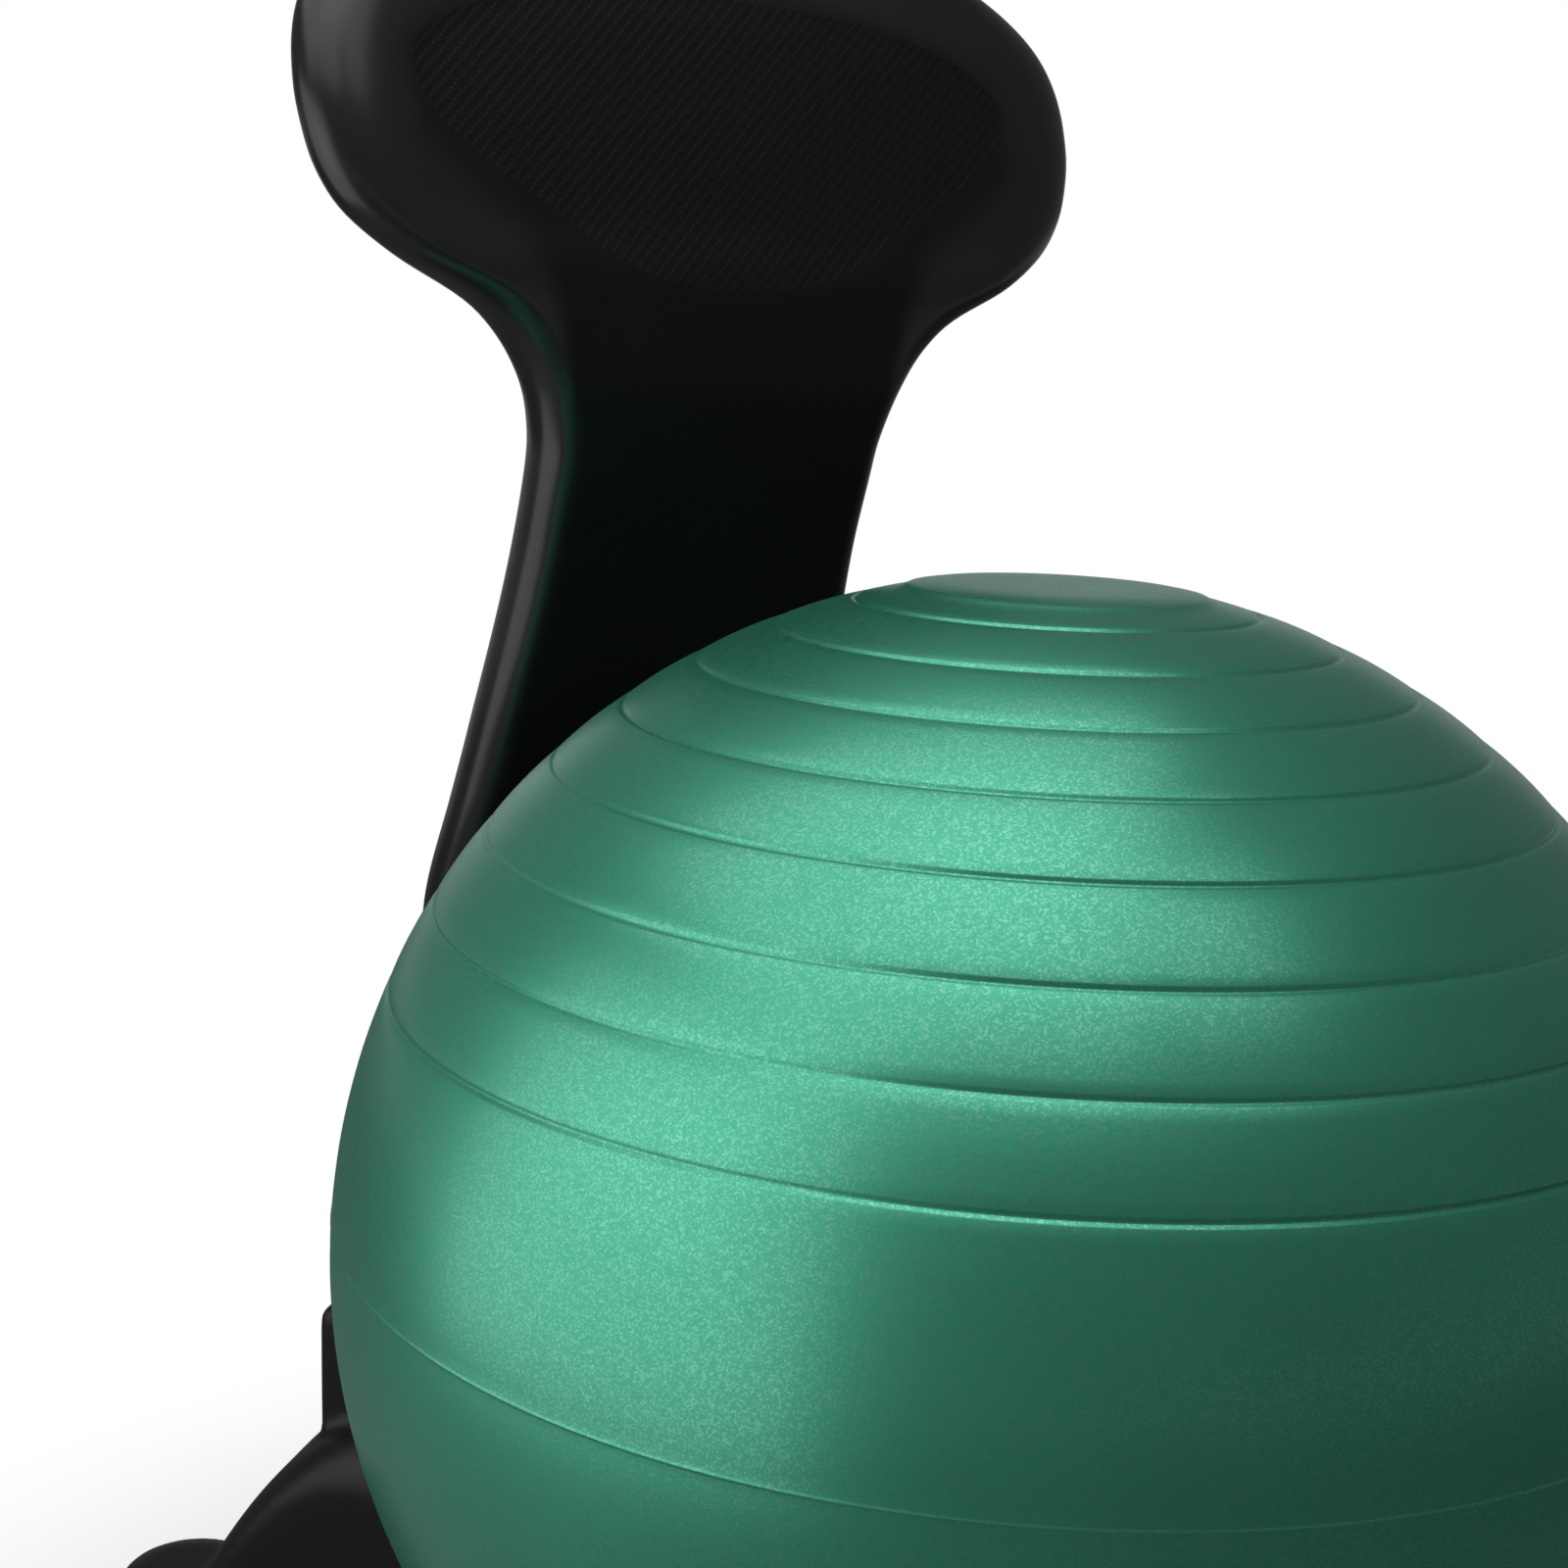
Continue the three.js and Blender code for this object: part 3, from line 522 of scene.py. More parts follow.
def pearl_vinyl(sheet):
    ball = chair().ball
    cells = sheet.node("ShaderNodeTexVoronoi", {"feature": "F1"}, sheet.place(), out="Color", Scale=1700.0)
    pick = sheet.node("ShaderNodeSeparateColor", None, cells)
    grain = sheet.noise(520.0, 3.0, 0.65)
    cloud = sheet.noise(9.0, 2.0)
    glint = pick.step(0.5, 1.0)
    skin = sheet.mixed(cloud.step(0.3, 0.7), shade(ball.skin, 0.93), shade(ball.skin, 1.01))
    flecked = sheet.mixed(glint * 0.2 + grain.step(0.45, 0.75) * 0.05, skin, ball.fleck)
    flakes = sheet.noise(640.0, 1.0)
    return {
        "Base Color": flecked,
        "Metallic": 0.78 + glint * 0.15,
        "Roughness": 0.4 - glint * 0.1 + cloud * 0.04,
        "Specular IOR Level": 0.3,
        "Coat Weight": 0.42 + cloud * 0.1,
        "Coat Roughness": 0.25,
        "Normal": sheet.bump(flakes, 0.4, 0.0001),
    }


def moulded_black(sheet):
    plastic = chair().back.plastic
    grain = sheet.noise(1400.0, 3.0, 0.6)
    patch = sheet.noise(14.0, 3.0)
    return {
        "Base Color": sheet.mixed(patch, shade(plastic, 0.85), shade(plastic, 1.25)),
        "Roughness": 0.34 + patch * 0.06 + grain * 0.05,
        "Specular IOR Level": 0.33,
        "Normal": sheet.bump(grain, 0.22, 0.0002),
    }


def back_black(sheet):
    back = chair().back
    inside = sheet.node("ShaderNodeAttribute", {"attribute_name": "panel"}, out="Fac")
    panel = inside.step(0.0, 0.0012)
    gloss = sheet.node("ShaderNodeAttribute", {"attribute_name": "gloss"}, out="Fac")
    x, y, z = sheet.axes()
    turn = 2 * math.pi / back.grid_pitch
    rows = ((x + z) * (turn * 1.2)).sine() * 0.5 + 0.5
    lines = ((x - z) * (turn * 0.71)).sine() * 0.5 + 0.5
    dots = (rows * lines).step(0.15, 0.75)
    # Mask of the panel's moulded dots: it drives their real relief in the bump and a painted highlight on them
    # in the base colour
    dot_relief_and_sheen = dots * panel
    grain = sheet.noise(1500.0, 2.0, 0.6)
    patch = sheet.noise(11.0, 3.0)
    plain = sheet.mixed(patch, shade(back.plastic, 0.9), shade(back.plastic, 1.15))
    return {
        # The lighter colour on the dots is a painted highlight; the dots themselves are the same black plastic
        "Base Color": sheet.mixed(dot_relief_and_sheen * 0.35, plain, shade(back.plastic, 1.7)),
        "Roughness": 0.36 + patch * 0.05 + panel * 0.1 - dot_relief_and_sheen * 0.06,
        "Specular IOR Level": 0.18,
        "Coat Weight": gloss * (1.0 - panel) * (0.85 + patch * 0.15),
        "Coat Roughness": 0.24,
        "Normal": sheet.bump(grain * 0.12 + dot_relief_and_sheen, 0.7, 0.0003),
    }


def satin_nylon(sheet):
    grain = sheet.noise(1800.0, 3.0, 0.6)
    patch = sheet.noise(60.0, 3.0)
    return {
        "Base Color": sheet.mixed(patch, (0.0085, 0.0085, 0.009), (0.014, 0.014, 0.0145)),
        "Roughness": 0.4 + patch * 0.12,
        "Specular IOR Level": 0.4,
        "Normal": sheet.bump(grain, 0.25, 0.0002),
    }


def wheel_nylon(sheet):
    grain = sheet.noise(1600.0, 3.0, 0.6)
    scuff = sheet.noise(240.0, 4.0, 0.7)
    return {
        "Base Color": sheet.mixed(scuff.step(0.5, 0.8), (0.016, 0.016, 0.0165), (0.034, 0.034, 0.034)),
        "Roughness": 0.48 + scuff * 0.18,
        "Specular IOR Level": 0.4,
        "Normal": sheet.bump(grain * 0.6 + scuff * 0.4, 0.3, 0.00025),
    }


def zinc_steel(sheet):
    patch = sheet.noise(160.0, 3.0, 0.6)
    scratch = sheet.noise(900.0, 4.0, 0.7)
    return {
        "Base Color": sheet.mixed(patch, (0.56, 0.57, 0.59), (0.70, 0.70, 0.71)),
        "Metallic": 1.0,
        "Roughness": 0.26 + patch * 0.14,
        "Normal": sheet.bump(scratch, 0.15, 0.0001),
    }


def black_steel(sheet):
    patch = sheet.noise(220.0, 3.0, 0.6)
    return {
        "Base Color": sheet.mixed(patch, (0.016, 0.016, 0.017), (0.035, 0.034, 0.033)),
        "Metallic": 0.8,
        "Roughness": 0.34 + patch * 0.14,
        "Normal": sheet.bump(patch, 0.1, 0.0001),
    }


def soft_white(sheet):
    grain = sheet.noise(700.0, 2.0)
    patch = sheet.noise(40.0, 2.0)
    return {
        "Base Color": sheet.mixed(patch, (0.72, 0.72, 0.69), (0.80, 0.80, 0.78)),
        "Roughness": 0.42 + patch * 0.1,
        "Normal": sheet.bump(grain, 0.15, 0.0002),
    }


def make_finishes():
    for build in (pearl_vinyl, moulded_black, back_black, satin_nylon, wheel_nylon, zinc_steel, black_steel,
                  soft_white):
        finish(build.__name__, build)


# Ball

RING_LATITUDES = (22.3, 30.0, 37.5, 45.4, 52.6, 59.6, 66.5, 73.5)
RING_GROOVE = ((-1.0, 0.0), (-0.62, 0.22), (-0.28, 0.85), (0.0, 1.0), (0.28, 0.85), (0.62, 0.22), (1.0, 0.0))
SEAM_BEAD = ((-1.6, 0), (-0.9, 0.15), (-0.5, 0.8), (0, 1), (0.5, 0.8), (0.9, 0.15), (1.6, 0))
CAP_FLAT = 0.04
SHOULDER_REACHES = (0.069, 0.0645, 0.0605)
VALVE_RADIUS = 0.008
VALVE_DEPTH = 0.018


def ball_sizes():
    """Radius, polar radius, half height and middle of the ball."""
    radius = (BALL_HIGH.x - BALL_LOW.x) / 2
    half_height = (BALL_HIGH.z - BALL_LOW.z) / 2
    polar = half_height / math.sqrt(1 - (CAP_FLAT / radius) ** 2)
    return radius, polar, half_height, (BALL_HIGH.z + BALL_LOW.z) / 2


def ball_outline():
    """Points of radius and height up the ball's skin, with its rings, seam and caps."""
    ball = chair().ball
    radius, polar, half_height, centre = ball_sizes()

    def skin(latitude, out):
        a = math.radians(latitude)
        normal = Vector((math.cos(a) / radius, math.sin(a) / polar)).normalized()
        return radius * math.cos(a) + out * normal.x, polar * math.sin(a) + out * normal.y

    half_ring = math.degrees(ball.ring_width / 2 / radius)
    lines = []
    rings = [-latitude for latitude in reversed(RING_LATITUDES)] + list(RING_LATITUDES)
    for before, after in zip(rings, rings[1:]):
        lines += [skin(before + half_ring * at, -ball.ring_depth * deep) for at, deep in RING_GROOVE]
        low, high = before + half_ring, after - half_ring
        middle_band = before < 0 < after
        steps = 44 if middle_band else 7
        places = [low + (high - low) * i / steps for i in range(1, steps)]
        if middle_band:
            seam = math.degrees(ball.seam_latitude)
            half_seam = math.degrees(ball.seam_width / 2 / radius)
            places = [place for place in places if abs(place - seam) > 2 * half_seam]
            bead = [(seam + half_seam * at, ball.seam_rise * up) for at, up in SEAM_BEAD]
            rows = sorted([(place, 0) for place in places] + bead)
            lines += [skin(place, out) for place, out in rows]
        else:
            for place in places:
                t = 2 * (place - low) / (high - low) - 1
                lines.append(skin(place, ball.band_bulge * (1 - t * t)))
    lines += [skin(rings[-1] + half_ring * at, -ball.ring_depth * deep) for at, deep in RING_GROOVE]

    def height_at(reach):
        return polar * math.sqrt(1 - (reach / radius) ** 2)

    shoulder = ball.cap_radius
    foot = height_at(shoulder)
    cap = [(reach, height_at(reach)) for reach in SHOULDER_REACHES]
    cap += [(shoulder + 0.0026, foot - 0.0004), (shoulder + 0.0012, foot + ball.cap_rise * 0.25),
            (shoulder, foot + ball.cap_rise * 0.8), (shoulder - 0.0018, foot + ball.cap_rise * 1.1),
            (shoulder - 0.006, half_height - 0.0007), (CAP_FLAT, half_height - 0.0002), (0.03, half_height)]
    top = cap + [(0.016, half_height), (0.0, half_height)]
    valve = [(0.0, -half_height + VALVE_DEPTH), (VALVE_RADIUS, -half_height + VALVE_DEPTH),
             (VALVE_RADIUS, -half_height + 0.0008), (VALVE_RADIUS + 0.0006, -half_height)]
    bottom = valve + [(0.016, -half_height)] + [(reach, -height) for reach, height in reversed(cap)]
    return [(reach, centre + height) for reach, height in bottom + lines + top]


class MESH_OT_chair_ball(bpy.types.Operator):
    """Adds the inflated ball with its rings, seam, caps and valve"""

    bl_idname = "mesh.chair_ball"
    bl_label = "Ball"

    def execute(self, context):
        ball = chair().ball
        piece = moved(turned("pearl_ball", ball_outline(), ball.segments), AT_AXIS)
        finished(piece, "ball", "ball", "pearl_vinyl", 60)
        return {"FINISHED"}


class MESH_OT_chair_plug(bpy.types.Operator):
    """Adds the ribbed stopper in the ball's valve"""

    bl_idname = "mesh.chair_plug"
    bl_label = "Air plug"

    def execute(self, context):
        low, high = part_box("air_plug")
        head = (high.x - low.x) / 2
        brim = 0.0024
        shank = VALVE_RADIUS - 0.0005
        foot, tip = low.z, high.z
        outline = [
            (0, foot + 0.0009), (head * 0.42, foot + 0.0009), (head * 0.5, foot + 0.0003),
            (head * 0.58, foot), (head * 0.9, foot), (head * 0.98, foot + 0.0004), (head, foot + 0.001),
            (head * 0.97, foot + brim - 0.0003), (head * 0.93, foot + brim), (shank, foot + brim),
        ]
        for i in range(3):
            height = foot + brim + 0.0025 + 0.0035 * i
            waist = shank - 0.0009 - 0.0004 * i
            outline += [(waist, height - 0.001), (shank - 0.0004 * i, height), (waist, height + 0.0012)]
        outline += [(0.0055, tip - 0.0008), (0.0048, tip), (0, tip)]
        finished(moved(turned("stopper", outline, 64), AT_AXIS), "air_plug", "air_plug", "soft_white", 40)
        return {"FINISHED"}


# Backrest

BACK_WIDTH_SHARES = (
    (0, 0.508), (0.35, 0.508), (0.48, 0.48), (0.617, 0.447), (0.66, 0.45), (0.688, 0.47),
    (0.716, 0.517), (0.745, 0.612), (0.773, 0.805), (0.801, 0.928), (0.83, 0.98), (0.865, 1),
)
BACK_SETBACK_SHARES = (
    (0, 1), (0.22, 1), (0.27, 0.998), (0.35, 0.98), (0.433, 0.912), (0.518, 0.845), (0.603, 0.786),
    (0.66, 0.746), (0.71, 0.724), (0.76, 0.722), (0.8, 0.746), (0.86, 0.778), (0.92, 0.812), (1, 0.87),
)
PAD_START_SHARE = 0.68
PAD_WIDEST_SHARE = 0.865
CROWN_POWER = 2.5
CROWN_SWEEP = math.radians(88.5)
CROWN_STEPS = 26
BACK_STEPS = 108
PANEL_FOOT_CURVE = 3.125
PANEL_BLEND = 0.025
BACK_THICKNESS = 0.034
FOOT_FRONT = 0.307


def back_station(height, crown=1.0):
    """Half width, half thickness and middle of the backrest's section at a height."""
    rise = (height - BACK_LOW.z) / (BACK_HIGH.z - BACK_LOW.z)
    half_width = BACK_HIGH.x * smooth_table(BACK_WIDTH_SHARES, rise) * crown
    edge = min(1.0, (BACK_HIGH.z - height) / (BACK_THICKNESS / 2))
    thin = max(0.3, math.sqrt(max(0, 1 - (1 - edge) ** 2)))
    centre = AXIS_Y + FOOT_FRONT * smooth_table(BACK_SETBACK_SHARES, rise) + BACK_THICKNESS / 2
    return half_width, BACK_THICKNESS / 2 * thin, centre


def back_stations():
    """Heights up the backrest, each with the share of its width that the rounded crown leaves."""
    wide = BACK_LOW.z + PAD_WIDEST_SHARE * (BACK_HIGH.z - BACK_LOW.z)
    rows = [(BACK_LOW.z + (wide - BACK_LOW.z) * i / BACK_STEPS, 1.0) for i in range(BACK_STEPS)]
    for i in range(CROWN_STEPS + 1):
        a = CROWN_SWEEP * i / CROWN_STEPS
        rise = math.sin(a) ** (2 / CROWN_POWER)
        rows.append((wide + (BACK_HIGH.z - wide) * rise, math.cos(a) ** (2 / CROWN_POWER)))
    return rows


def section(name, half_width, half_thickness, centre, height, rounding, front_cuts, rear_cuts):
    """A flat face with round ends, with its long sides cut into even steps."""
    deselect()
    bpy.ops.mesh.primitive_plane_add(size=1, location=(0, centre, height))
    piece = named(name)
    piece.scale = (2 * half_width, 2 * half_thickness, 1)
    settle(piece)
    with editing(piece, everything=True) as work:
        bpy.ops.mesh.bevel(offset=rounding, segments=7, affect="VERTICES", clamp_overlap=True)
        for cuts, side in ((front_cuts, -1), (rear_cuts, 1)):
            def long_side(edge):
                outer = all((v.co.y - centre) * side > half_thickness * 0.99 for v in edge.verts)
                return outer and edge.calc_length() > half_width / 2
            work.pick(long_side)
            bpy.ops.mesh.subdivide(number_cuts=cuts)
    return piece


def raise_section(piece, stations):
    """Extrudes a section up through stations of width, thickness and place."""
    with editing(piece, everything=True):
        for before, after in zip(stations, stations[1:]):
            step = (0, after[2] - before[2], after[3] - before[3])
            bpy.ops.mesh.extrude_region_move(TRANSFORM_OT_translate={"value": step})
            bpy.ops.transform.resize(value=(after[0] / before[0], after[1] / before[1], 1),
                                     center_override=(0, after[2], after[3]))
    return tidy(piece)


def outline_distance(points, outline):
    """Distance in the XZ plane from each point to an outline, seen as short straight pieces."""
    best = np.full(len(points), np.inf)
    for a, b in zip(outline, outline[1:]):
        along = b - a
        t = np.clip((points - a) @ along / max(along @ along, 1e-12), 0, 1)
        best = np.minimum(best, np.linalg.norm(points - a - t[:, None] * along, axis=1))
    return best


def edge_distance(piece):
    """How far each point of a piece is inside the backrest's outline."""
    rim = np.array([(back_station(height, crown)[0], height) for height, crown in back_stations()])
    return outline_distance(np.array([(abs(v.co.x), v.co.z) for v in piece.data.vertices]), rim)


def panel_distance(piece):
    """How far each point of a piece is inside the panel's edge, and negative outside it."""
    back = chair().back
    place = np.array([(abs(v.co.x), v.co.z) for v in piece.data.vertices])
    side = edge_distance(piece) - back.panel_inset
    foot = place[:, 1] - back.panel_foot - PANEL_FOOT_CURVE * place[:, 0] ** 2
    near = np.clip(0.5 + 0.5 * (foot - side) / PANEL_BLEND, 0, 1)
    return foot * (1 - near) + side * near - PANEL_BLEND * near * (1 - near)


class MESH_OT_chair_backrest(bpy.types.Operator):
    """Adds the moulded backrest with its recessed textured panel"""

    bl_idname = "mesh.chair_backrest"
    bl_label = "Backrest"

    def execute(self, context):
        back = chair().back
        stations = [(*back_station(height, crown), height) for height, crown in back_stations()]
        piece = section("back_shell", *stations[0], back.edge_round, 56, 22)
        raise_section(piece, stations)
        span = BACK_HIGH.z - BACK_LOW.z
        push(piece, "Y", -back.wing_forward, lambda co: (co.x / BACK_HIGH.x) ** 2 * eased(
            (co.z - BACK_LOW.z) / span, PAD_START_SHARE, PAD_WIDEST_SHARE))
        inside = panel_distance(piece)
        front = [vertex.normal.y < -0.3 for vertex in piece.data.vertices]
        group = piece.vertex_groups.new(name="panel_depth")
        for i, faces_front in enumerate(front):
            group.add([i], eased(inside[i], -0.003, 0.003) if faces_front else 0, "REPLACE")
        modify(piece, "DISPLACE", direction="Y", strength=back.panel_depth, mid_level=0,
               vertex_group=group.name)
        piece.vertex_groups.clear()
        modify(piece, "SUBSURF", levels=1, render_levels=1)
        inside = panel_distance(piece)
        inside = np.where([vertex.normal.y < -0.3 for vertex in piece.data.vertices], inside, -0.01)
        panel = piece.data.attributes.new("panel", "FLOAT", "POINT")
        panel.data.foreach_set("value", inside.astype(np.float32))
        gloss = piece.data.attributes.new("gloss", "FLOAT", "POINT")
        for point, distance, vertex in zip(gloss.data, edge_distance(piece), piece.data.vertices):
            width = back.neck_gloss + (back.gloss_rim - back.neck_gloss) * eased(vertex.co.z, 0.6, 0.72)
            point.value = 1 - eased(distance, width * 0.6, width)
        finished(piece, "base", "backrest", "back_black", 60)
        return {"FINISHED"}


# Base

FLOOR_GAP = 0.044
HUB_HOLE = 0.036
HUB_FLAT = 0.062
BOWL_RIM = 0.174
COLLAR_TOP = 0.239
COLLAR_BOTTOM = 0.121
COLLAR_OUTER = 0.285
COLLAR_INNER = 0.232
COLLAR_CORNER = 0.011
COLLAR_SPREAD = math.radians(45)
COLLAR_HOLLOW_SPREAD = math.radians(31)
LEG_ROOT = 0.205
LEG_HALF_WIDTH = 0.04
LEG_UNDERSIDE = 0.064
LEG_RISE = 0.034
LEG_ROOT_TOP = {"front": 0.158, "rear": 0.19}
LEG_ARCH_END = 0.01
LEG_ARCH_SPAN = 0.076
LEG_ARCH_POWER = 1.8
BOSS_RADIUS = 0.032
BOSS_TOP = 0.107
BOSS_ROUND = 0.009
SOCKET_FRONT = 0.246
SOCKET_REAR = 0.3515
SOCKET_BOTTOM = 0.1125
SOCKET_WALL = 0.011
SOCKET_ROUND = 0.016
FOOT_BOTTOM = 0.122
FOOT_GAP = 0.0005
SLEEVE_RADIUS = 0.00725
BOLT_HEIGHT = 0.184
BOLT_SPACING = 0.046
BOLT_RADIUS = 0.004
NUT_RADIUS = 0.0075
NUT_THICKNESS = 0.0065
HEX = 6


def ball_form(name, gap):
    """A plain ball, moved out by a gap, for shaping what hugs it."""
    radius, polar, half_height, centre = ball_sizes()
    outline = [((radius + gap) * across, centre + (polar + gap) * up)
               for across, up in arc((0, 0), 1, -90, 90, 60)]
    outline[0] = (0, outline[0][1])
    outline[-1] = (0, outline[-1][1])
    return moved(turned(name, outline, 144), AT_AXIS)


def bowl_block():
    """The bowl's outside from the hub's flat up to its rim, still solid."""
    base = chair().base
    radius, polar, half_height, centre = ball_sizes()
    gap = base.bowl_wall + base.fit
    rim_radius = radius * math.sqrt(1 - ((centre - BOWL_RIM) / polar) ** 2) + gap
    outline = [(0, FLOOR_GAP), (HUB_FLAT, FLOOR_GAP)]
    for latitude in range(-74, 0, 3):
        a = math.radians(latitude)
        reach, height = (radius + gap) * math.cos(a), centre + (polar + gap) * math.sin(a)
        if reach > HUB_FLAT + 0.006 and height > FLOOR_GAP and height < BOWL_RIM - 0.004:
            outline.append((reach, height))
    outline += [(rim_radius, BOWL_RIM - 0.002), (rim_radius - 0.002, BOWL_RIM), (0, BOWL_RIM)]
    return moved(turned("bowl_block", outline, 144), AT_AXIS)


def collar_block(name, spread, inset):
    """A piece of a thick ring round the rear of the bowl; with an inset it is the hollow inside it."""
    outer, inner = COLLAR_OUTER - inset, COLLAR_INNER - inset
    top = COLLAR_TOP - inset
    bottom = FLOOR_GAP - 0.005 if inset else COLLAR_BOTTOM
    outline = [(inner, bottom), (outer - 0.003, bottom), (outer, top - 0.0055), (outer - 0.0018, top - 0.0018),
               (outer - 0.0055, top), (inner, top), (inner, bottom)]
    piece = turned(name, outline, 40, 2 * spread)
    with editing(piece, everything=True):
        bpy.ops.mesh.fill_holes(sides=0)
    tidy(piece)
    moved(piece, AT_AXIS @ Matrix.Rotation(math.pi / 2 + spread, 4, "Z"))
    if not inset:
        def end_top(edge):
            across = [abs(math.atan2(v.co.x, v.co.y - AXIS_Y)) > spread - 0.01 for v in edge.verts]
            return all(across) and all(v.co.z > top - 0.0001 for v in edge.verts)
        rim_round(piece, COLLAR_CORNER, 6, end_top)
    return piece


def leg_block(name, corner, inset):
    """A leg from under the bowl out to its caster; with an inset it is the hollow inside it."""
    spot = middle("caster_stem_" + corner) - Vector((0, AXIS_Y, 0))
    direction = Vector((spot.x, spot.y, 0)).normalized()
    reach = math.hypot(spot.x, spot.y)
    root_top = LEG_ROOT_TOP[corner.split("_")[0]]
    arch_start = reach - LEG_ARCH_END - LEG_ARCH_SPAN
    end = reach - BOSS_RADIUS if inset else reach
    count = 12
    radii = [LEG_ROOT + inset] + [arch_start + LEG_ARCH_SPAN * i / count for i in range(count + 1)]
    radii = [radius for radius in radii if radius < end - 0.001] + [end]
    stations = []
    for radius in radii:
        along = (radius - LEG_ROOT) / (reach - LEG_ROOT)
        arch = min(1, max(0, (radius - arch_start) / LEG_ARCH_SPAN))
        top = root_top - (root_top - BOSS_TOP) * arch ** LEG_ARCH_POWER - inset
        under = LEG_UNDERSIDE + LEG_RISE * math.cos(arch * math.pi / 2) ** 2
        bottom = LEG_UNDERSIDE - 0.004 if inset else under
        half_width = LEG_HALF_WIDTH + (BOSS_RADIUS - LEG_HALF_WIDTH) * along - inset
        stations.append((half_width, (top - bottom) / 2, (top + bottom) / 2, radius))
    piece = section(name, *stations[0], min(stations[0][:2]) / 2, 2, 2)
    raise_section(piece, stations)
    side = Vector((-direction.y, direction.x, 0))
    turn = Matrix((side, Vector((0, 0, 1)), direction)).transposed().to_4x4()
    return moved(piece, AT_AXIS @ turn)


def boss_block(corner):
    """The round end of a leg, over its caster."""
    spot = middle("caster_stem_" + corner)
    shoulder = arc((BOSS_RADIUS - BOSS_ROUND, BOSS_TOP - BOSS_ROUND), BOSS_ROUND, 0, 90, 6)
    outline = [(0, LEG_UNDERSIDE), (BOSS_RADIUS, LEG_UNDERSIDE)] + shoulder + [(0, BOSS_TOP)]
    return moved(turned("boss_" + corner, outline, 64), Matrix.Translation((spot.x, spot.y, 0)))


def standing_block(name, half_width, front, rear, bottom, top, rounding):
    """An upright block with rounded upright edges."""
    piece = section(name, half_width, (rear - front) / 2, AXIS_Y + (front + rear) / 2, bottom, rounding, 2, 2)
    with editing(piece, everything=True):
        bpy.ops.mesh.extrude_region_move(TRANSFORM_OT_translate={"value": (0, 0, top - bottom)})
    return tidy(piece)


def foot_section(gap):
    """Half width, front and rear of the backrest's foot, moved out by a gap."""
    half_width, half_thickness, centre = back_station(FOOT_BOTTOM)
    return half_width + gap, centre - AXIS_Y - half_thickness - gap, centre - AXIS_Y + half_thickness + gap


class MESH_OT_chair_base(bpy.types.Operator):
    """Adds the moulded base: bowl, collar, socket and four legs, hollow underneath"""

    bl_idname = "mesh.chair_base"
    bl_label = "Base"

    def execute(self, context):
        base = chair().base
        back = chair().back
        body = bowl_block()
        foot_width, foot_front, foot_rear = foot_section(FOOT_GAP)
        outers = [collar_block("collar_block", COLLAR_SPREAD, 0),
                  standing_block("socket_block", foot_width + SOCKET_WALL, SOCKET_FRONT, SOCKET_REAR,
                                 SOCKET_BOTTOM, COLLAR_TOP, SOCKET_ROUND)]
        outers += [leg_block("leg_" + corner, corner, 0) for corner in CORNERS]
        outers += [boss_block(corner) for corner in CORNERS]
        combine(body, "UNION", *outers)
        modify(body, "REMESH", mode="VOXEL", voxel_size=base.blend_size)
        modify(body, "SMOOTH", factor=0.5, iterations=7)

        skin = ball_form("bowl_skin", base.bowl_wall + base.fit)
        hollows = [leg_block("leg_hollow", corner, base.wall) for corner in CORNERS]
        hollows.append(collar_block("collar_hollow", COLLAR_HOLLOW_SPREAD, base.wall))
        for hollow in hollows:
            modify(hollow, "BOOLEAN", operation="DIFFERENCE", solver="MANIFOLD", object=skin)
        remove(skin)
        cutters = [ball_form("ball_space", base.fit),
                   bar("hub_hole", HUB_HOLE, (0, AXIS_Y, 0.072), 0.076, vertices=96),
                   standing_block("foot_space", foot_width, foot_front, foot_rear, FOOT_BOTTOM - FOOT_GAP,
                                  COLLAR_TOP + 0.01, back.edge_round)]
        for corner in CORNERS:
            spot = middle("stem_sleeve_" + corner)
            cutters.append(bar("sleeve_space", SLEEVE_RADIUS + base.fit, (spot.x, spot.y, 0.078), 0.0386))
        for x in (-BOLT_SPACING, BOLT_SPACING):
            for name, radius, y, length, sides in (("bolt_space", BOLT_RADIUS, 0.309, 0.094, 48),
                                                   ("nut_space", NUT_RADIUS, 0.27815, 0.0323, HEX)):
                cutters.append(bar(name, radius + base.fit, (x, AXIS_Y + y, BOLT_HEIGHT), length, "Y", sides))
        combine(body, "DIFFERENCE", *hollows, *cutters)
        body.name = body.data.name = "base_shell"
        finished(body, "base", "base_frame", "moulded_black", 40)
        return {"FINISHED"}


# Fixings

THREAD_PITCH = 0.00125
THREAD_LENGTH = 0.022
HEAD_RISE = 0.0045
FIXING_BORE = 0.0043
WASHER_RADIUS = 0.01


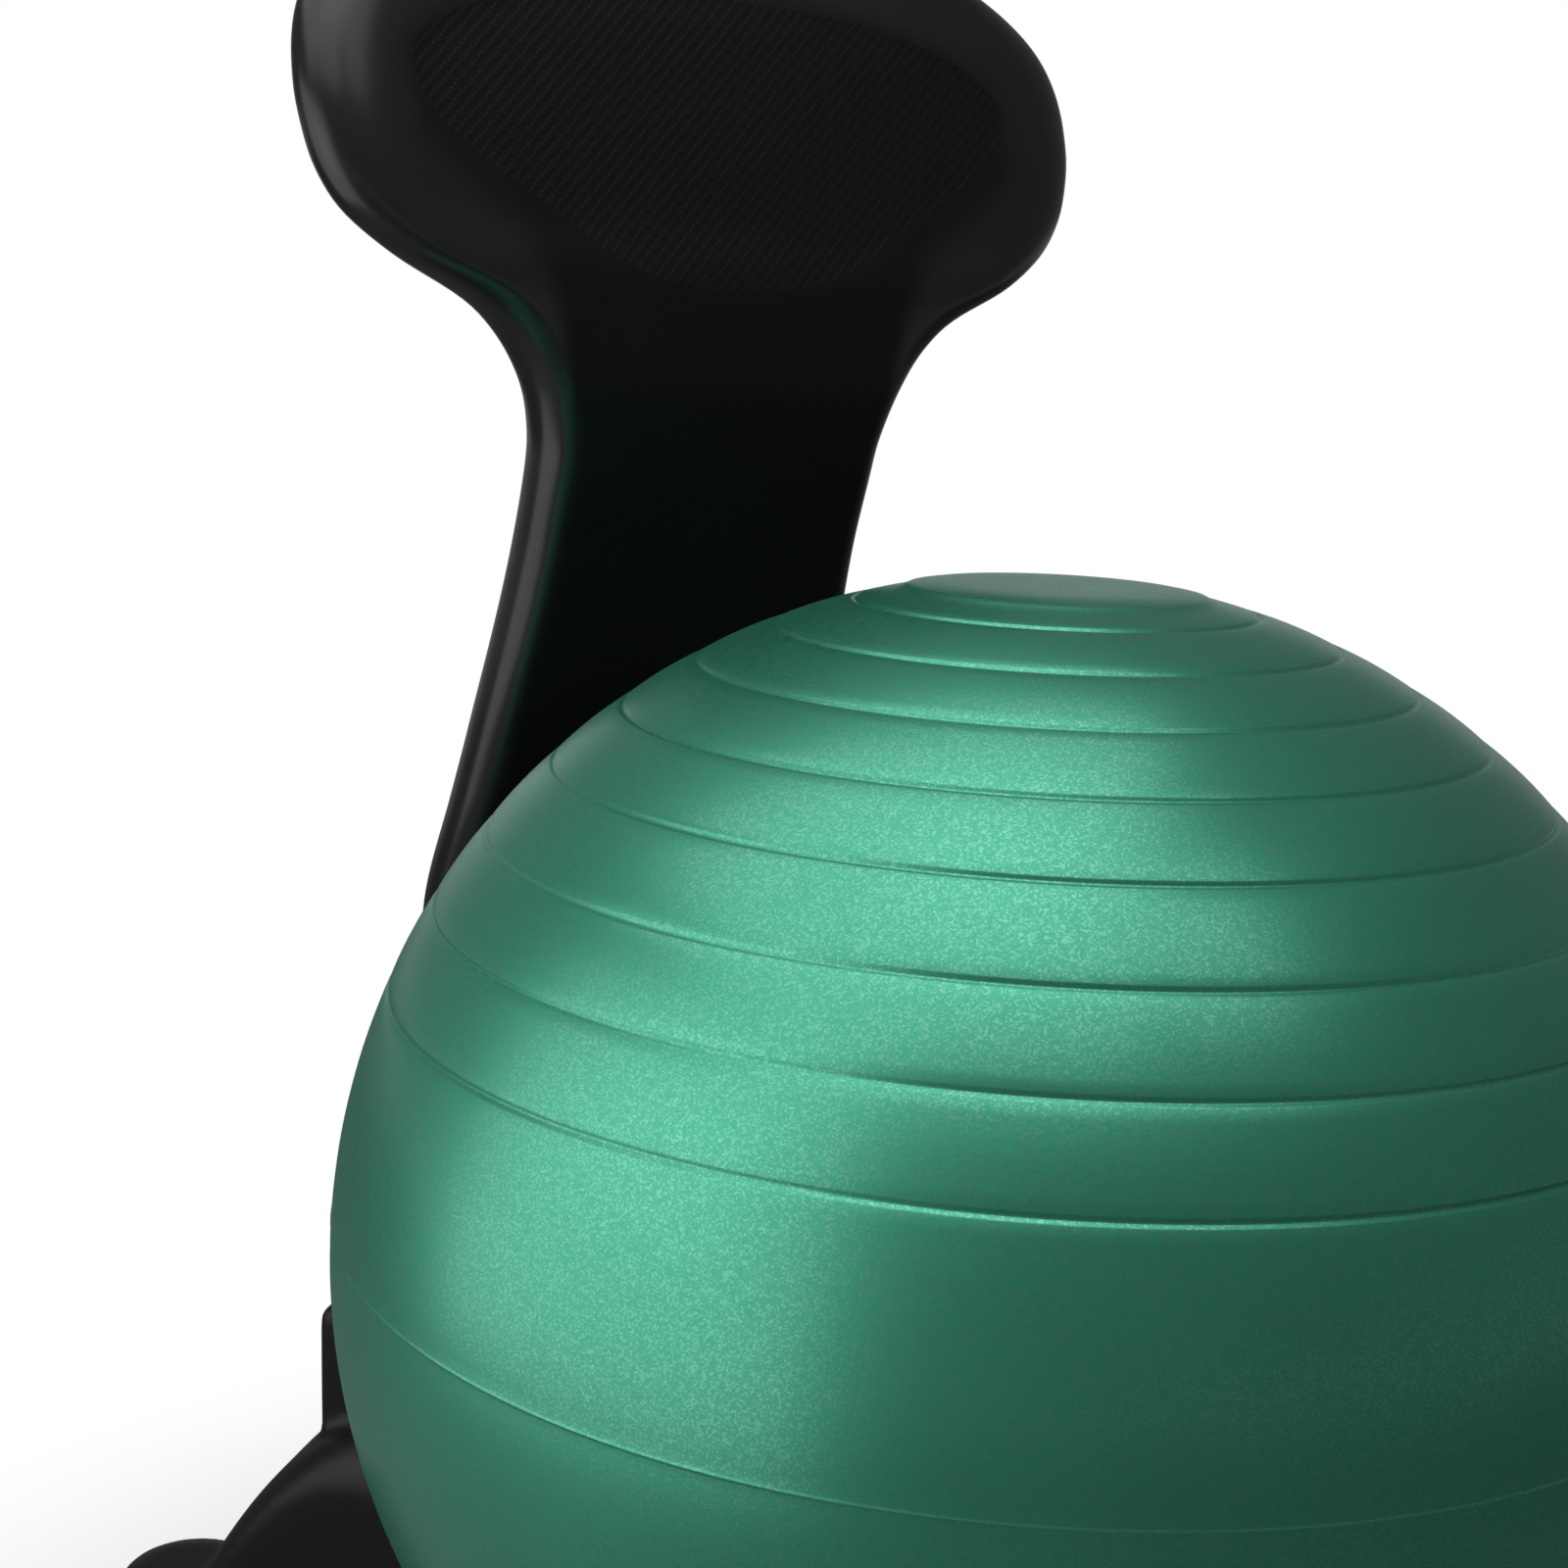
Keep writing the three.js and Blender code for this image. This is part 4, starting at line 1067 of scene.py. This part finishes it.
class MESH_OT_chair_fixings(bpy.types.Operator):
    """Adds the two bolts that hold the backrest, with their washers and nuts"""

    bl_idname = "mesh.chair_fixings"
    bl_label = "Back fixings"

    def execute(self, context):
        low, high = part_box("back_bolt_left")
        rear, front, rise = high.y, low.y, HEAD_RISE
        head = [(0, rear - rise), (0.0072, rear - rise), (0.0075, rear - rise + 0.0003)]
        for i in range(7):
            a = math.radians(15 * i)
            head.append((0.0029 + 0.0046 * math.cos(a), rear - rise + 0.001 + (rise - 0.001) * math.sin(a)))
        head.append((0, rear))
        lathe_to_y = Matrix.Rotation(-math.pi / 2, 4, "X")
        bolt = moved(turned("back_bolt", head, 64), lathe_to_y)
        shank_rows = [(0, front), (BOLT_RADIUS - 0.0008, front)]
        thread_end = front + THREAD_LENGTH
        for i in range(int((THREAD_LENGTH - 0.001) / THREAD_PITCH)):
            start = front + 0.0008 + THREAD_PITCH * i
            shank_rows += [(BOLT_RADIUS - 0.0006, start), (BOLT_RADIUS - 0.0001, start + THREAD_PITCH * 0.4),
                           (BOLT_RADIUS - 0.0001, start + THREAD_PITCH * 0.6)]
        shank_rows += [(BOLT_RADIUS - 0.0006, thread_end), (BOLT_RADIUS, thread_end + 0.0004),
                       (BOLT_RADIUS, rear - rise / 2), (0, rear - rise / 2)]
        shank = moved(turned("bolt_shank", shank_rows, 32), lathe_to_y)
        combine(bolt, "UNION", shank)
        combine(bolt, "DIFFERENCE", bar("bolt_socket", 0.0029, (0, rear, 0), 0.0046, "Y", HEX))
        w_low, w_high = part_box("back_washer_left")
        bore, outer = FIXING_BORE, WASHER_RADIUS
        washer_rows = [(bore, w_low.y), (outer - 0.0003, w_low.y), (outer, w_low.y + 0.0003),
                       (outer, w_high.y - 0.0004), (outer - 0.0004, w_high.y), (bore + 0.0002, w_high.y),
                       (bore, w_high.y - 0.0002), (bore, w_low.y)]
        washer = moved(turned("back_washer", washer_rows, 64), lathe_to_y)
        n_low, n_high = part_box("back_nut_left")
        mid = (n_low.y + n_high.y) / 2
        nut = bar("back_nut", NUT_RADIUS, (0, mid, 0), NUT_THICKNESS, "Y", HEX)
        face, corner = 0.0064, 0.0078
        cone = [(0, n_low.y - 0.0005), (face, n_low.y - 0.0005), (face, n_low.y), (corner, n_low.y + 0.0009),
                (corner, n_high.y - 0.0009), (face, n_high.y), (face, n_high.y + 0.0005),
                (0, n_high.y + 0.0005)]
        combine(nut, "INTERSECT", moved(turned("nut_cone", cone, 64), lathe_to_y))
        combine(nut, "DIFFERENCE", bar("nut_bore", bore, (0, mid, 0), 0.01, "Y", 40))
        for side, x in (("left", -BOLT_SPACING), ("right", BOLT_SPACING)):
            place = Matrix.Translation((x, 0, BOLT_HEIGHT))
            for piece, steel in ((bolt, "black_steel"), (washer, "black_steel"), (nut, "zinc_steel")):
                node = piece.name + "_" + side
                stand(piece, node + "_look", place, "base", node, steel)
        remove(bolt, washer, nut)
        return {"FINISHED"}


# Casters, each modelled with its stem on the Z axis and its axle behind it along X

WHEEL_RADIUS = 0.025
WHEEL_WIDTH = 0.011
WHEEL_INNER_FACE = 0.009
HOOD_HALF = 0.02
HOOD_INNER = 0.0266
HOOD_OUTER = 0.0296
HOOD_SKIRT = 0.029
TRAIL = 0.017
HOUSING_TOP = 0.0604
WHEEL_EDGE = 0.002
STEM_RADIUS = 0.0055
STEM_BORE = STEM_RADIUS + 0.00035
AXLE_RADIUS = 0.003
AXLE_BOSS = 0.009
CASTER_TURN = math.radians(30)
PIVOT_ANGLE = math.radians(50)
PIVOT_REACH = HOOD_OUTER + 0.0045
LEVER_LIFT = math.radians(12)
EAR_RADIUS = 0.0038
EAR_PLACE = 0.0086


def stand_of(corner):
    """Where a caster stands and how it is turned."""
    spot = middle("caster_stem_" + corner)
    turn = CASTER_TURN if corner.endswith("left") else -CASTER_TURN
    return Matrix.Translation((spot.x, spot.y, 0)) @ Matrix.Rotation(turn, 4, "Z")


def from_axle(angle_above, distance):
    """Place in a caster's own YZ plane, at an angle over the axle and a distance from it."""
    return (TRAIL + distance * math.cos(angle_above), WHEEL_RADIUS + distance * math.sin(angle_above))


def along_x(piece):
    """Lays a shape turned about Z along X, over the axle."""
    return moved(piece, Matrix.Translation((0, TRAIL, WHEEL_RADIUS)) @ Matrix.Rotation(math.pi / 2, 4, "Y"))


class MESH_OT_chair_stems(bpy.types.Operator):
    """Adds the steel sleeves in the legs and the stems that the casters turn on"""

    bl_idname = "mesh.chair_stems"
    bl_label = "Sleeves and stems"

    def execute(self, context):
        low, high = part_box("stem_sleeve_front_left")
        bore, outer, flange = STEM_BORE, SLEEVE_RADIUS, 0.0105
        under = low.z + 0.0012
        rows = [(bore, low.z), (flange - 0.0003, low.z), (flange, low.z + 0.0003), (flange, under - 0.0003),
                (flange - 0.0003, under), (outer, under)]
        for i in range(4):
            at = under + 0.006 + 0.006 * i
            rows += [(outer, at), (outer - 0.0004, at + 0.0006), (outer - 0.0004, at + 0.0018),
                     (outer, at + 0.0024)]
        rows += [(outer, high.z - 0.0006), (outer - 0.0006, high.z), (bore, high.z), (bore, low.z)]
        sleeve = turned("sleeve", rows, 48)
        low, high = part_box("caster_stem_front_left")
        radius, flange = STEM_RADIUS, 0.009
        face = HOUSING_TOP + 0.0003
        over = face + 0.0015
        rows = [(0, low.z), (radius - 0.0008, low.z), (radius, low.z + 0.0008), (radius, face - 0.0001),
                (flange - 0.0004, face), (flange, face + 0.0004), (flange, over - 0.0004),
                (flange - 0.0004, over), (radius, over), (radius, high.z - 0.0085),
                (radius - 0.0011, high.z - 0.008), (radius - 0.0011, high.z - 0.006),
                (radius, high.z - 0.0055), (radius, high.z - 0.0016), (radius - 0.0014, high.z), (0, high.z)]
        stem = turned("stem", rows, 48)
        for corner in CORNERS:
            place = stand_of(corner)
            stand(sleeve, "sleeve_" + corner, place, "base", "stem_sleeve_" + corner, "zinc_steel")
            stand(stem, "stem_" + corner, place, "base", "caster_stem_" + corner, "zinc_steel")
        remove(sleeve, stem)
        return {"FINISHED"}


def hood_block():
    """The curved hood over both wheels, rounded at its side edges."""
    edge = 0.002
    rows = arc((HOOD_OUTER - edge, edge - HOOD_HALF), edge, -90, 0, 5)
    rows += arc((HOOD_OUTER - edge, HOOD_HALF - edge), edge, 0, 90, 5)
    rows += [(HOOD_INNER, HOOD_HALF), (HOOD_INNER, -HOOD_HALF), rows[0]]
    hood = along_x(turned("hood", rows, 96))
    combine(hood, "INTERSECT", block("hood_room", (-0.05, -0.05, HOOD_SKIRT), (0.05, 0.08, 0.08)))
    return hood


def web_block():
    """The upright plate between the wheels that carries the axle."""
    outline = [(-0.009, HOUSING_TOP - 0.002), (-0.009, 0.034)]
    outline += arc((TRAIL, WHEEL_RADIUS), AXLE_BOSS, -130, 20, 12)
    outline += [(TRAIL, WHEEL_RADIUS + HOOD_INNER - 0.002), (0.008, HOUSING_TOP - 0.002)]
    return plate("web", outline, 0.008)


def housing_block(brake):
    """A caster's housing, with ears and a slot where it holds a brake lever."""
    housing = hood_block()
    boss = turned("swivel_boss", [(0, HOOD_SKIRT + 0.003), (0.0135, HOOD_SKIRT + 0.003), (0.0132, 0.05),
                                  (0.0122, 0.0556), (0.012, HOUSING_TOP - 0.0012), (0.0108, HOUSING_TOP),
                                  (0, HOUSING_TOP)], 64)
    wheel_space = along_x(bar("wheel_space", HOOD_INNER, (0, 0, 0), 0.05, vertices=96))
    combine(boss, "DIFFERENCE", wheel_space)
    parts = [boss, web_block()]
    if brake:
        middle_angle, root = math.degrees(PIVOT_ANGLE), math.radians(14)
        outline = [from_axle(PIVOT_ANGLE - root, HOOD_INNER + 0.001)]
        outline += arc(from_axle(PIVOT_ANGLE, PIVOT_REACH), EAR_RADIUS, middle_angle - 75,
                       middle_angle + 75, 12)
        outline.append(from_axle(PIVOT_ANGLE + root, HOOD_INNER + 0.001))
        for x in (-EAR_PLACE, EAR_PLACE):
            parts.append(moved(plate("ear", outline, 0.0013), Matrix.Translation((x, 0, 0))))
    combine(housing, "UNION", *parts)
    cutters = [bar("stem_space", STEM_BORE, (0, 0, 0.0505), 0.0270),
               along_x(bar("axle_space", AXLE_RADIUS + 0.0003, (0, 0, 0), 0.032, vertices=32))]
    if brake:
        low, high = PIVOT_ANGLE - math.radians(13), PIVOT_ANGLE + math.radians(13)
        inner, outer = HOOD_INNER - 0.002, HOOD_OUTER + 0.002
        slot = [from_axle(low, inner), from_axle(low, outer), from_axle(high, outer), from_axle(high, inner)]
        y, z = from_axle(PIVOT_ANGLE, PIVOT_REACH)
        cutters += [plate("tail_space", slot, 0.005), bar("pin_space", 0.0018, (0, y, z), 0.04, "X", 24)]
    combine(housing, "DIFFERENCE", *cutters)
    return housing


class MESH_OT_chair_housings(bpy.types.Operator):
    """Adds the hooded caster housings and their axles"""

    bl_idname = "mesh.chair_housings"
    bl_label = "Caster housings"

    def execute(self, context):
        edge = chair().caster.edge_round
        shapes = {}
        for kind in ("front", "rear"):
            shape = housing_block(kind == "front")
            modify(shape, "BEVEL", width=edge, segments=2, limit_method="ANGLE", angle_limit=math.radians(50))
            shapes[kind] = tidy(shape, 2e-6)
        half = HOOD_HALF
        radius, edge_cut = AXLE_RADIUS, 0.0006
        rows = [(0, -half), (radius - edge_cut, -half), (radius, edge_cut - half), (radius, half - edge_cut),
                (radius - edge_cut, half), (0, half)]
        axle = along_x(turned("axle", rows, 32))
        for corner in CORNERS:
            place, body = stand_of(corner), "caster_" + corner
            shape = shapes[corner.split("_")[0]]
            stand(shape, "housing_" + corner, place, body, "caster_housing_" + corner, "satin_nylon", 40)
            stand(axle, "axle_" + corner, place, body, "caster_axle_" + corner, "zinc_steel")
        remove(axle, *shapes.values())
        return {"FINISHED"}


class MESH_OT_chair_wheels(bpy.types.Operator):
    """Adds the two dished wheels of each caster"""

    bl_idname = "mesh.chair_wheels"
    bl_label = "Wheels"

    def execute(self, context):
        groove = chair().caster.tread_groove
        bore, radius, width = AXLE_RADIUS + 0.00035, WHEEL_RADIUS, WHEEL_WIDTH
        rim = radius - WHEEL_EDGE
        rows = [(bore, 0)] + arc((rim, WHEEL_EDGE), WHEEL_EDGE, -90, 0, 5)
        for at in (0.0036, width - 0.0036):
            rows += [(radius, at - 0.0004), (radius - groove, at - 0.0001), (radius - groove, at + 0.0001),
                     (radius, at + 0.0004)]
        rows += arc((rim, width - WHEEL_EDGE), WHEEL_EDGE, 0, 90, 5)
        dish, hub_face = width - 0.0025, width - 0.0008
        rows += [(radius - 0.0056, width), (radius - 0.0061, width - 0.0003), (radius - 0.0068, dish + 0.0004),
                 (radius - 0.0074, dish), (0.0098, dish), (0.0092, dish + 0.0002), (0.0084, hub_face - 0.0002),
                 (0.0078, hub_face), (0.0048, hub_face), (0.0044, hub_face - 0.0003), (0.0042, dish),
                 (bore, dish), (bore, 0)]
        wheel = turned("wheel", rows, 96)
        over_axle = Matrix.Translation((0, TRAIL, WHEEL_RADIUS))
        out = Matrix.Translation((0, 0, WHEEL_INNER_FACE))
        for corner in CORNERS:
            outer_side = -1 if corner.endswith("left") else 1
            for name, side in (("outer", outer_side), ("inner", -outer_side)):
                place = stand_of(corner) @ over_axle @ Matrix.Rotation(side * math.pi / 2, 4, "Y") @ out
                node = "wheel_" + name + "_" + corner
                stand(wheel, node + "_look", place, node, node, "wheel_nylon")
        remove(wheel)
        return {"FINISHED"}


class MESH_OT_chair_brakes(bpy.types.Operator):
    """Adds the foot levers of the two front casters and their pins"""

    bl_idname = "mesh.chair_brakes"
    bl_label = "Brake levers"

    def execute(self, context):
        y, z = from_axle(PIVOT_ANGLE, PIVOT_REACH)
        half, hub, thick, length = 0.007, 0.0038, 0.0036, 0.017
        lever = bar("lever", hub, (0, y, z), 2 * half, "X", 48)

        def from_pivot(angle, points):
            """Points along and over a line that leaves the pivot at an angle."""
            c, s = math.cos(angle), math.sin(angle)
            return [(y + along * c - up * s, z + along * s + up * c) for along, up in points]

        tread = [(0, hub - thick), (length - 0.0012, hub - thick), (length, hub - thick + 0.0012),
                 (length, hub - 0.0008), (length - 0.0008, hub)]
        for i in range(3, -1, -1):
            at = 0.0045 + 0.003 * i
            tread += [(at + 0.0016, hub), (at + 0.0012, hub - 0.0005), (at + 0.0004, hub - 0.0005), (at, hub)]
        tread.append((0, hub))
        tail = [(0, -0.002), (0.0104, -0.002), (0.011, -0.0014), (0.011, 0.0014), (0.0104, 0.002), (0, 0.002)]
        combine(lever, "UNION", plate("tread", from_pivot(LEVER_LIFT, tread), half),
                plate("tail", from_pivot(PIVOT_ANGLE + math.pi, tail), 0.004))
        combine(lever, "DIFFERENCE", bar("pin_bore", 0.00185, (0, y, z), 0.04, "X", 24))
        modify(lever, "BEVEL", width=0.00025, segments=2, limit_method="ANGLE", angle_limit=math.radians(55))
        reach = half + 0.0003 + 0.0026
        pin_rows = [(0, -reach), (0.0012, -reach), (0.0015, -reach + 0.0003), (0.0015, reach - 0.0003),
                    (0.0012, reach), (0, reach)]
        pin = turned("pin", pin_rows, 24)
        moved(pin, Matrix.Translation((0, y, z)) @ Matrix.Rotation(math.pi / 2, 4, "Y"))
        for corner in ("front_left", "front_right"):
            place = stand_of(corner)
            stand(lever, "lever_" + corner, place, "brake_" + corner, "brake_lever_" + corner, "satin_nylon")
            stand(pin, "pin_" + corner, place, "caster_" + corner, "brake_pin_" + corner, "zinc_steel")
        remove(lever, pin)
        return {"FINISHED"}


# Stage

CAMERA_PLACE = (-0.58086, -0.73201, 0.64386)
CAMERA_TURNS = (-34, 10.63, 2.42)
CAMERA_LENS = 56.25
SENSOR_WIDTH = 36.0
CAMERA_WAY = (0.559, 0.829, 0.0)


class SCENE_OT_chair_stage(bpy.types.Operator):
    """Adds the pale floor, the world, the soft boxes and the camera"""

    bl_idname = "scene.chair_stage"
    bl_label = "Stage"

    def execute(self, context):
        stage = chair().stage
        scene = context.scene
        scene.view_settings.view_transform = "Standard"
        self.floor(stage)
        self.world(scene, stage)
        self.lights(scene, stage)
        self.camera(scene)
        return {"FINISHED"}

    def floor(self, stage):
        """A pale floor that keeps the chair's shadow and is white farther out."""
        deselect()
        bpy.ops.mesh.primitive_circle_add(vertices=128, radius=stage.floor_radius, fill_type="NGON",
                                          location=(0, 0, -0.0005))
        floor = settle(named("floor"))
        material = bpy.data.materials.new("pale_floor")
        material.use_nodes = True
        sheet = Sheet(material.node_tree)
        x, y, z = sheet.axes()
        reach = (x * x + y * y).power(0.5)
        grain = sheet.noise(30.0, 3.0)
        path = sheet.node("ShaderNodeLightPath").socket.node.outputs
        seen = Wire(sheet, path["Is Camera Ray"]).larger(Wire(sheet, path["Is Transmission Ray"]))
        paper = sheet.mixed(seen, (0.3, 0.3, 0.3), sheet.mixed(grain, (0.88, 0.88, 0.88), (0.9, 0.9, 0.9)))
        lit = sheet.node("ShaderNodeBsdfDiffuse", None, paper)
        glow = sheet.node("ShaderNodeEmission", None, (1, 1, 1), 1.0)
        far = reach.step(0.32, 0.62)
        mirrored = Wire(sheet, path["Is Glossy Ray"]) * reach.step(2.0, 5.0) * 0.3
        share_of_glow = seen * (0.62 + far * 0.38) + mirrored
        shaded = sheet.node("ShaderNodeMixShader", None, share_of_glow, lit, glow)
        sheet.node("ShaderNodeOutputMaterial", None, shaded)
        floor.data.materials.append(material)

    def world(self, scene, stage):
        """An even grey room, white to the camera and, behind the chair, in its gloss."""
        scene.world = bpy.data.worlds.new("room")
        scene.world.use_nodes = True
        sheet = Sheet(scene.world.node_tree)
        level = stage.world_level
        way = sheet.node("ShaderNodeTexCoord", out="Generated")
        behind = sheet.node("ShaderNodeVectorMath", {"operation": "DOT_PRODUCT"}, way, CAMERA_WAY, out="Value")
        path = sheet.node("ShaderNodeLightPath").socket.node.outputs
        seen = Wire(sheet, path["Is Camera Ray"]).larger(Wire(sheet, path["Is Transmission Ray"]))
        height = sheet.node("ShaderNodeSeparateXYZ", None, way).socket.node.outputs["Z"]
        low = 1.0 - Wire(sheet, height).step(0.1, 0.3)
        mirrored = Wire(sheet, path["Is Glossy Ray"]) * behind.step(0.8, 0.97) * low * 0.4
        room = sheet.mixed(seen.larger(mirrored), (level, level, level), (1, 1, 1))
        sheet.node("ShaderNodeOutputWorld", None, sheet.node("ShaderNodeBackground", None, room, 1.0))

    def lights(self, scene, stage):
        """Soft boxes at the left and overhead, each with a brighter middle, and a small one at the corner."""
        boxes = (
            ("side_box", (-0.7, 0.02, 0.495), (0.8, 0.71), stage.side_power, (1, 0, 0), 0),
            ("side_core", (-0.69, -0.03, 0.59), (0.32, 0.3), stage.core_power / 3, (1, 0, 0), 0),
            ("top_core", (-0.3, -0.22, 1.39), (0.5, 0.5), stage.core_power, (0, 0, -1), -34),
            ("corner_box", (0.06, -0.75, 1.4), (0.38, 0.58), stage.corner_power, (0, 0, -1), 0),
            ("top_box", (-0.596, -0.141, 1.4), (1.37, 1.4), stage.top_power, (0, 0, -1), -34),
        )
        for name, place, extent, watts, way, turn in boxes:
            light = bpy.data.lights.new(name, "AREA")
            light.shape, light.size, light.size_y = "RECTANGLE", *extent
            light.energy = watts
            lamp = bpy.data.objects.new(name, light)
            scene.collection.objects.link(lamp)
            lamp.location = place
            lamp.rotation_mode = "QUATERNION"
            lamp.rotation_quaternion = Matrix.Rotation(math.radians(turn), 3, "Z").to_quaternion() @ \
                Vector(way).to_track_quat("-Z", "Y")
            lamp.visible_camera = False

    def camera(self, scene):
        """Camera fitted to the ball's outline and rings in the photograph."""
        heading, pitch, roll = (math.radians(degrees) for degrees in CAMERA_TURNS)
        lens = bpy.data.cameras.new("camera")
        lens.sensor_width = SENSOR_WIDTH
        lens.lens = CAMERA_LENS
        view = bpy.data.objects.new("camera", lens)
        scene.collection.objects.link(view)
        forward = Vector((-math.sin(heading) * math.cos(pitch), math.cos(heading) * math.cos(pitch),
                          -math.sin(pitch)))
        level = forward.to_track_quat("-Z", "Y")
        view.rotation_mode = "QUATERNION"
        view.rotation_quaternion = level @ Matrix.Rotation(roll, 3, "Z").to_quaternion()
        view.location = CAMERA_PLACE
        scene.camera = view


class VIEW3D_PT_ball_chair(bpy.types.Panel):
    """Lists the chair's pieces and their settings"""

    bl_label = "Balance Ball Chair"
    bl_space_type = "VIEW_3D"
    bl_region_type = "UI"
    bl_category = "Ball Chair"

    def draw(self, context):
        settings = chair()
        for title, group, operators in PANEL_ROWS:
            box = self.layout.box()
            box.label(text=title)
            values = getattr(settings, group)
            for name in values.__annotations__:
                box.prop(values, name)
            for operator in operators:
                box.operator(operator)


PANEL_ROWS = (
    ("Stage", "stage", ("scene.chair_stage",)),
    ("Ball", "ball", ("mesh.chair_ball", "mesh.chair_plug")),
    ("Backrest", "back", ("mesh.chair_backrest", "mesh.chair_fixings")),
    ("Base", "base", ("mesh.chair_base",)),
    ("Casters", "caster", ("mesh.chair_stems", "mesh.chair_housings", "mesh.chair_wheels",
                           "mesh.chair_brakes")),
)
CLASSES = (
    BallSettings, BackSettings, BaseSettings, CasterSettings, StageSettings, ChairSettings,
    SCENE_OT_chair_stage, MESH_OT_chair_ball, MESH_OT_chair_plug, MESH_OT_chair_backrest, MESH_OT_chair_base,
    MESH_OT_chair_fixings, MESH_OT_chair_stems, MESH_OT_chair_housings, MESH_OT_chair_wheels,
    MESH_OT_chair_brakes,
    VIEW3D_PT_ball_chair,
)


def register():
    for item in CLASSES:
        bpy.utils.register_class(item)
    bpy.types.Scene.ball_chair = PointerProperty(type=ChairSettings)


def unregister():
    del bpy.types.Scene.ball_chair
    for item in reversed(CLASSES):
        bpy.utils.unregister_class(item)


def main():
    register()
    make_finishes()
    bpy.ops.scene.chair_stage()
    bpy.ops.mesh.chair_ball()
    bpy.ops.mesh.chair_plug()
    bpy.ops.mesh.chair_backrest()
    bpy.ops.mesh.chair_base()
    bpy.ops.mesh.chair_fixings()
    bpy.ops.mesh.chair_stems()
    bpy.ops.mesh.chair_housings()
    bpy.ops.mesh.chair_wheels()
    bpy.ops.mesh.chair_brakes()


if __name__ == "__main__":
    main()
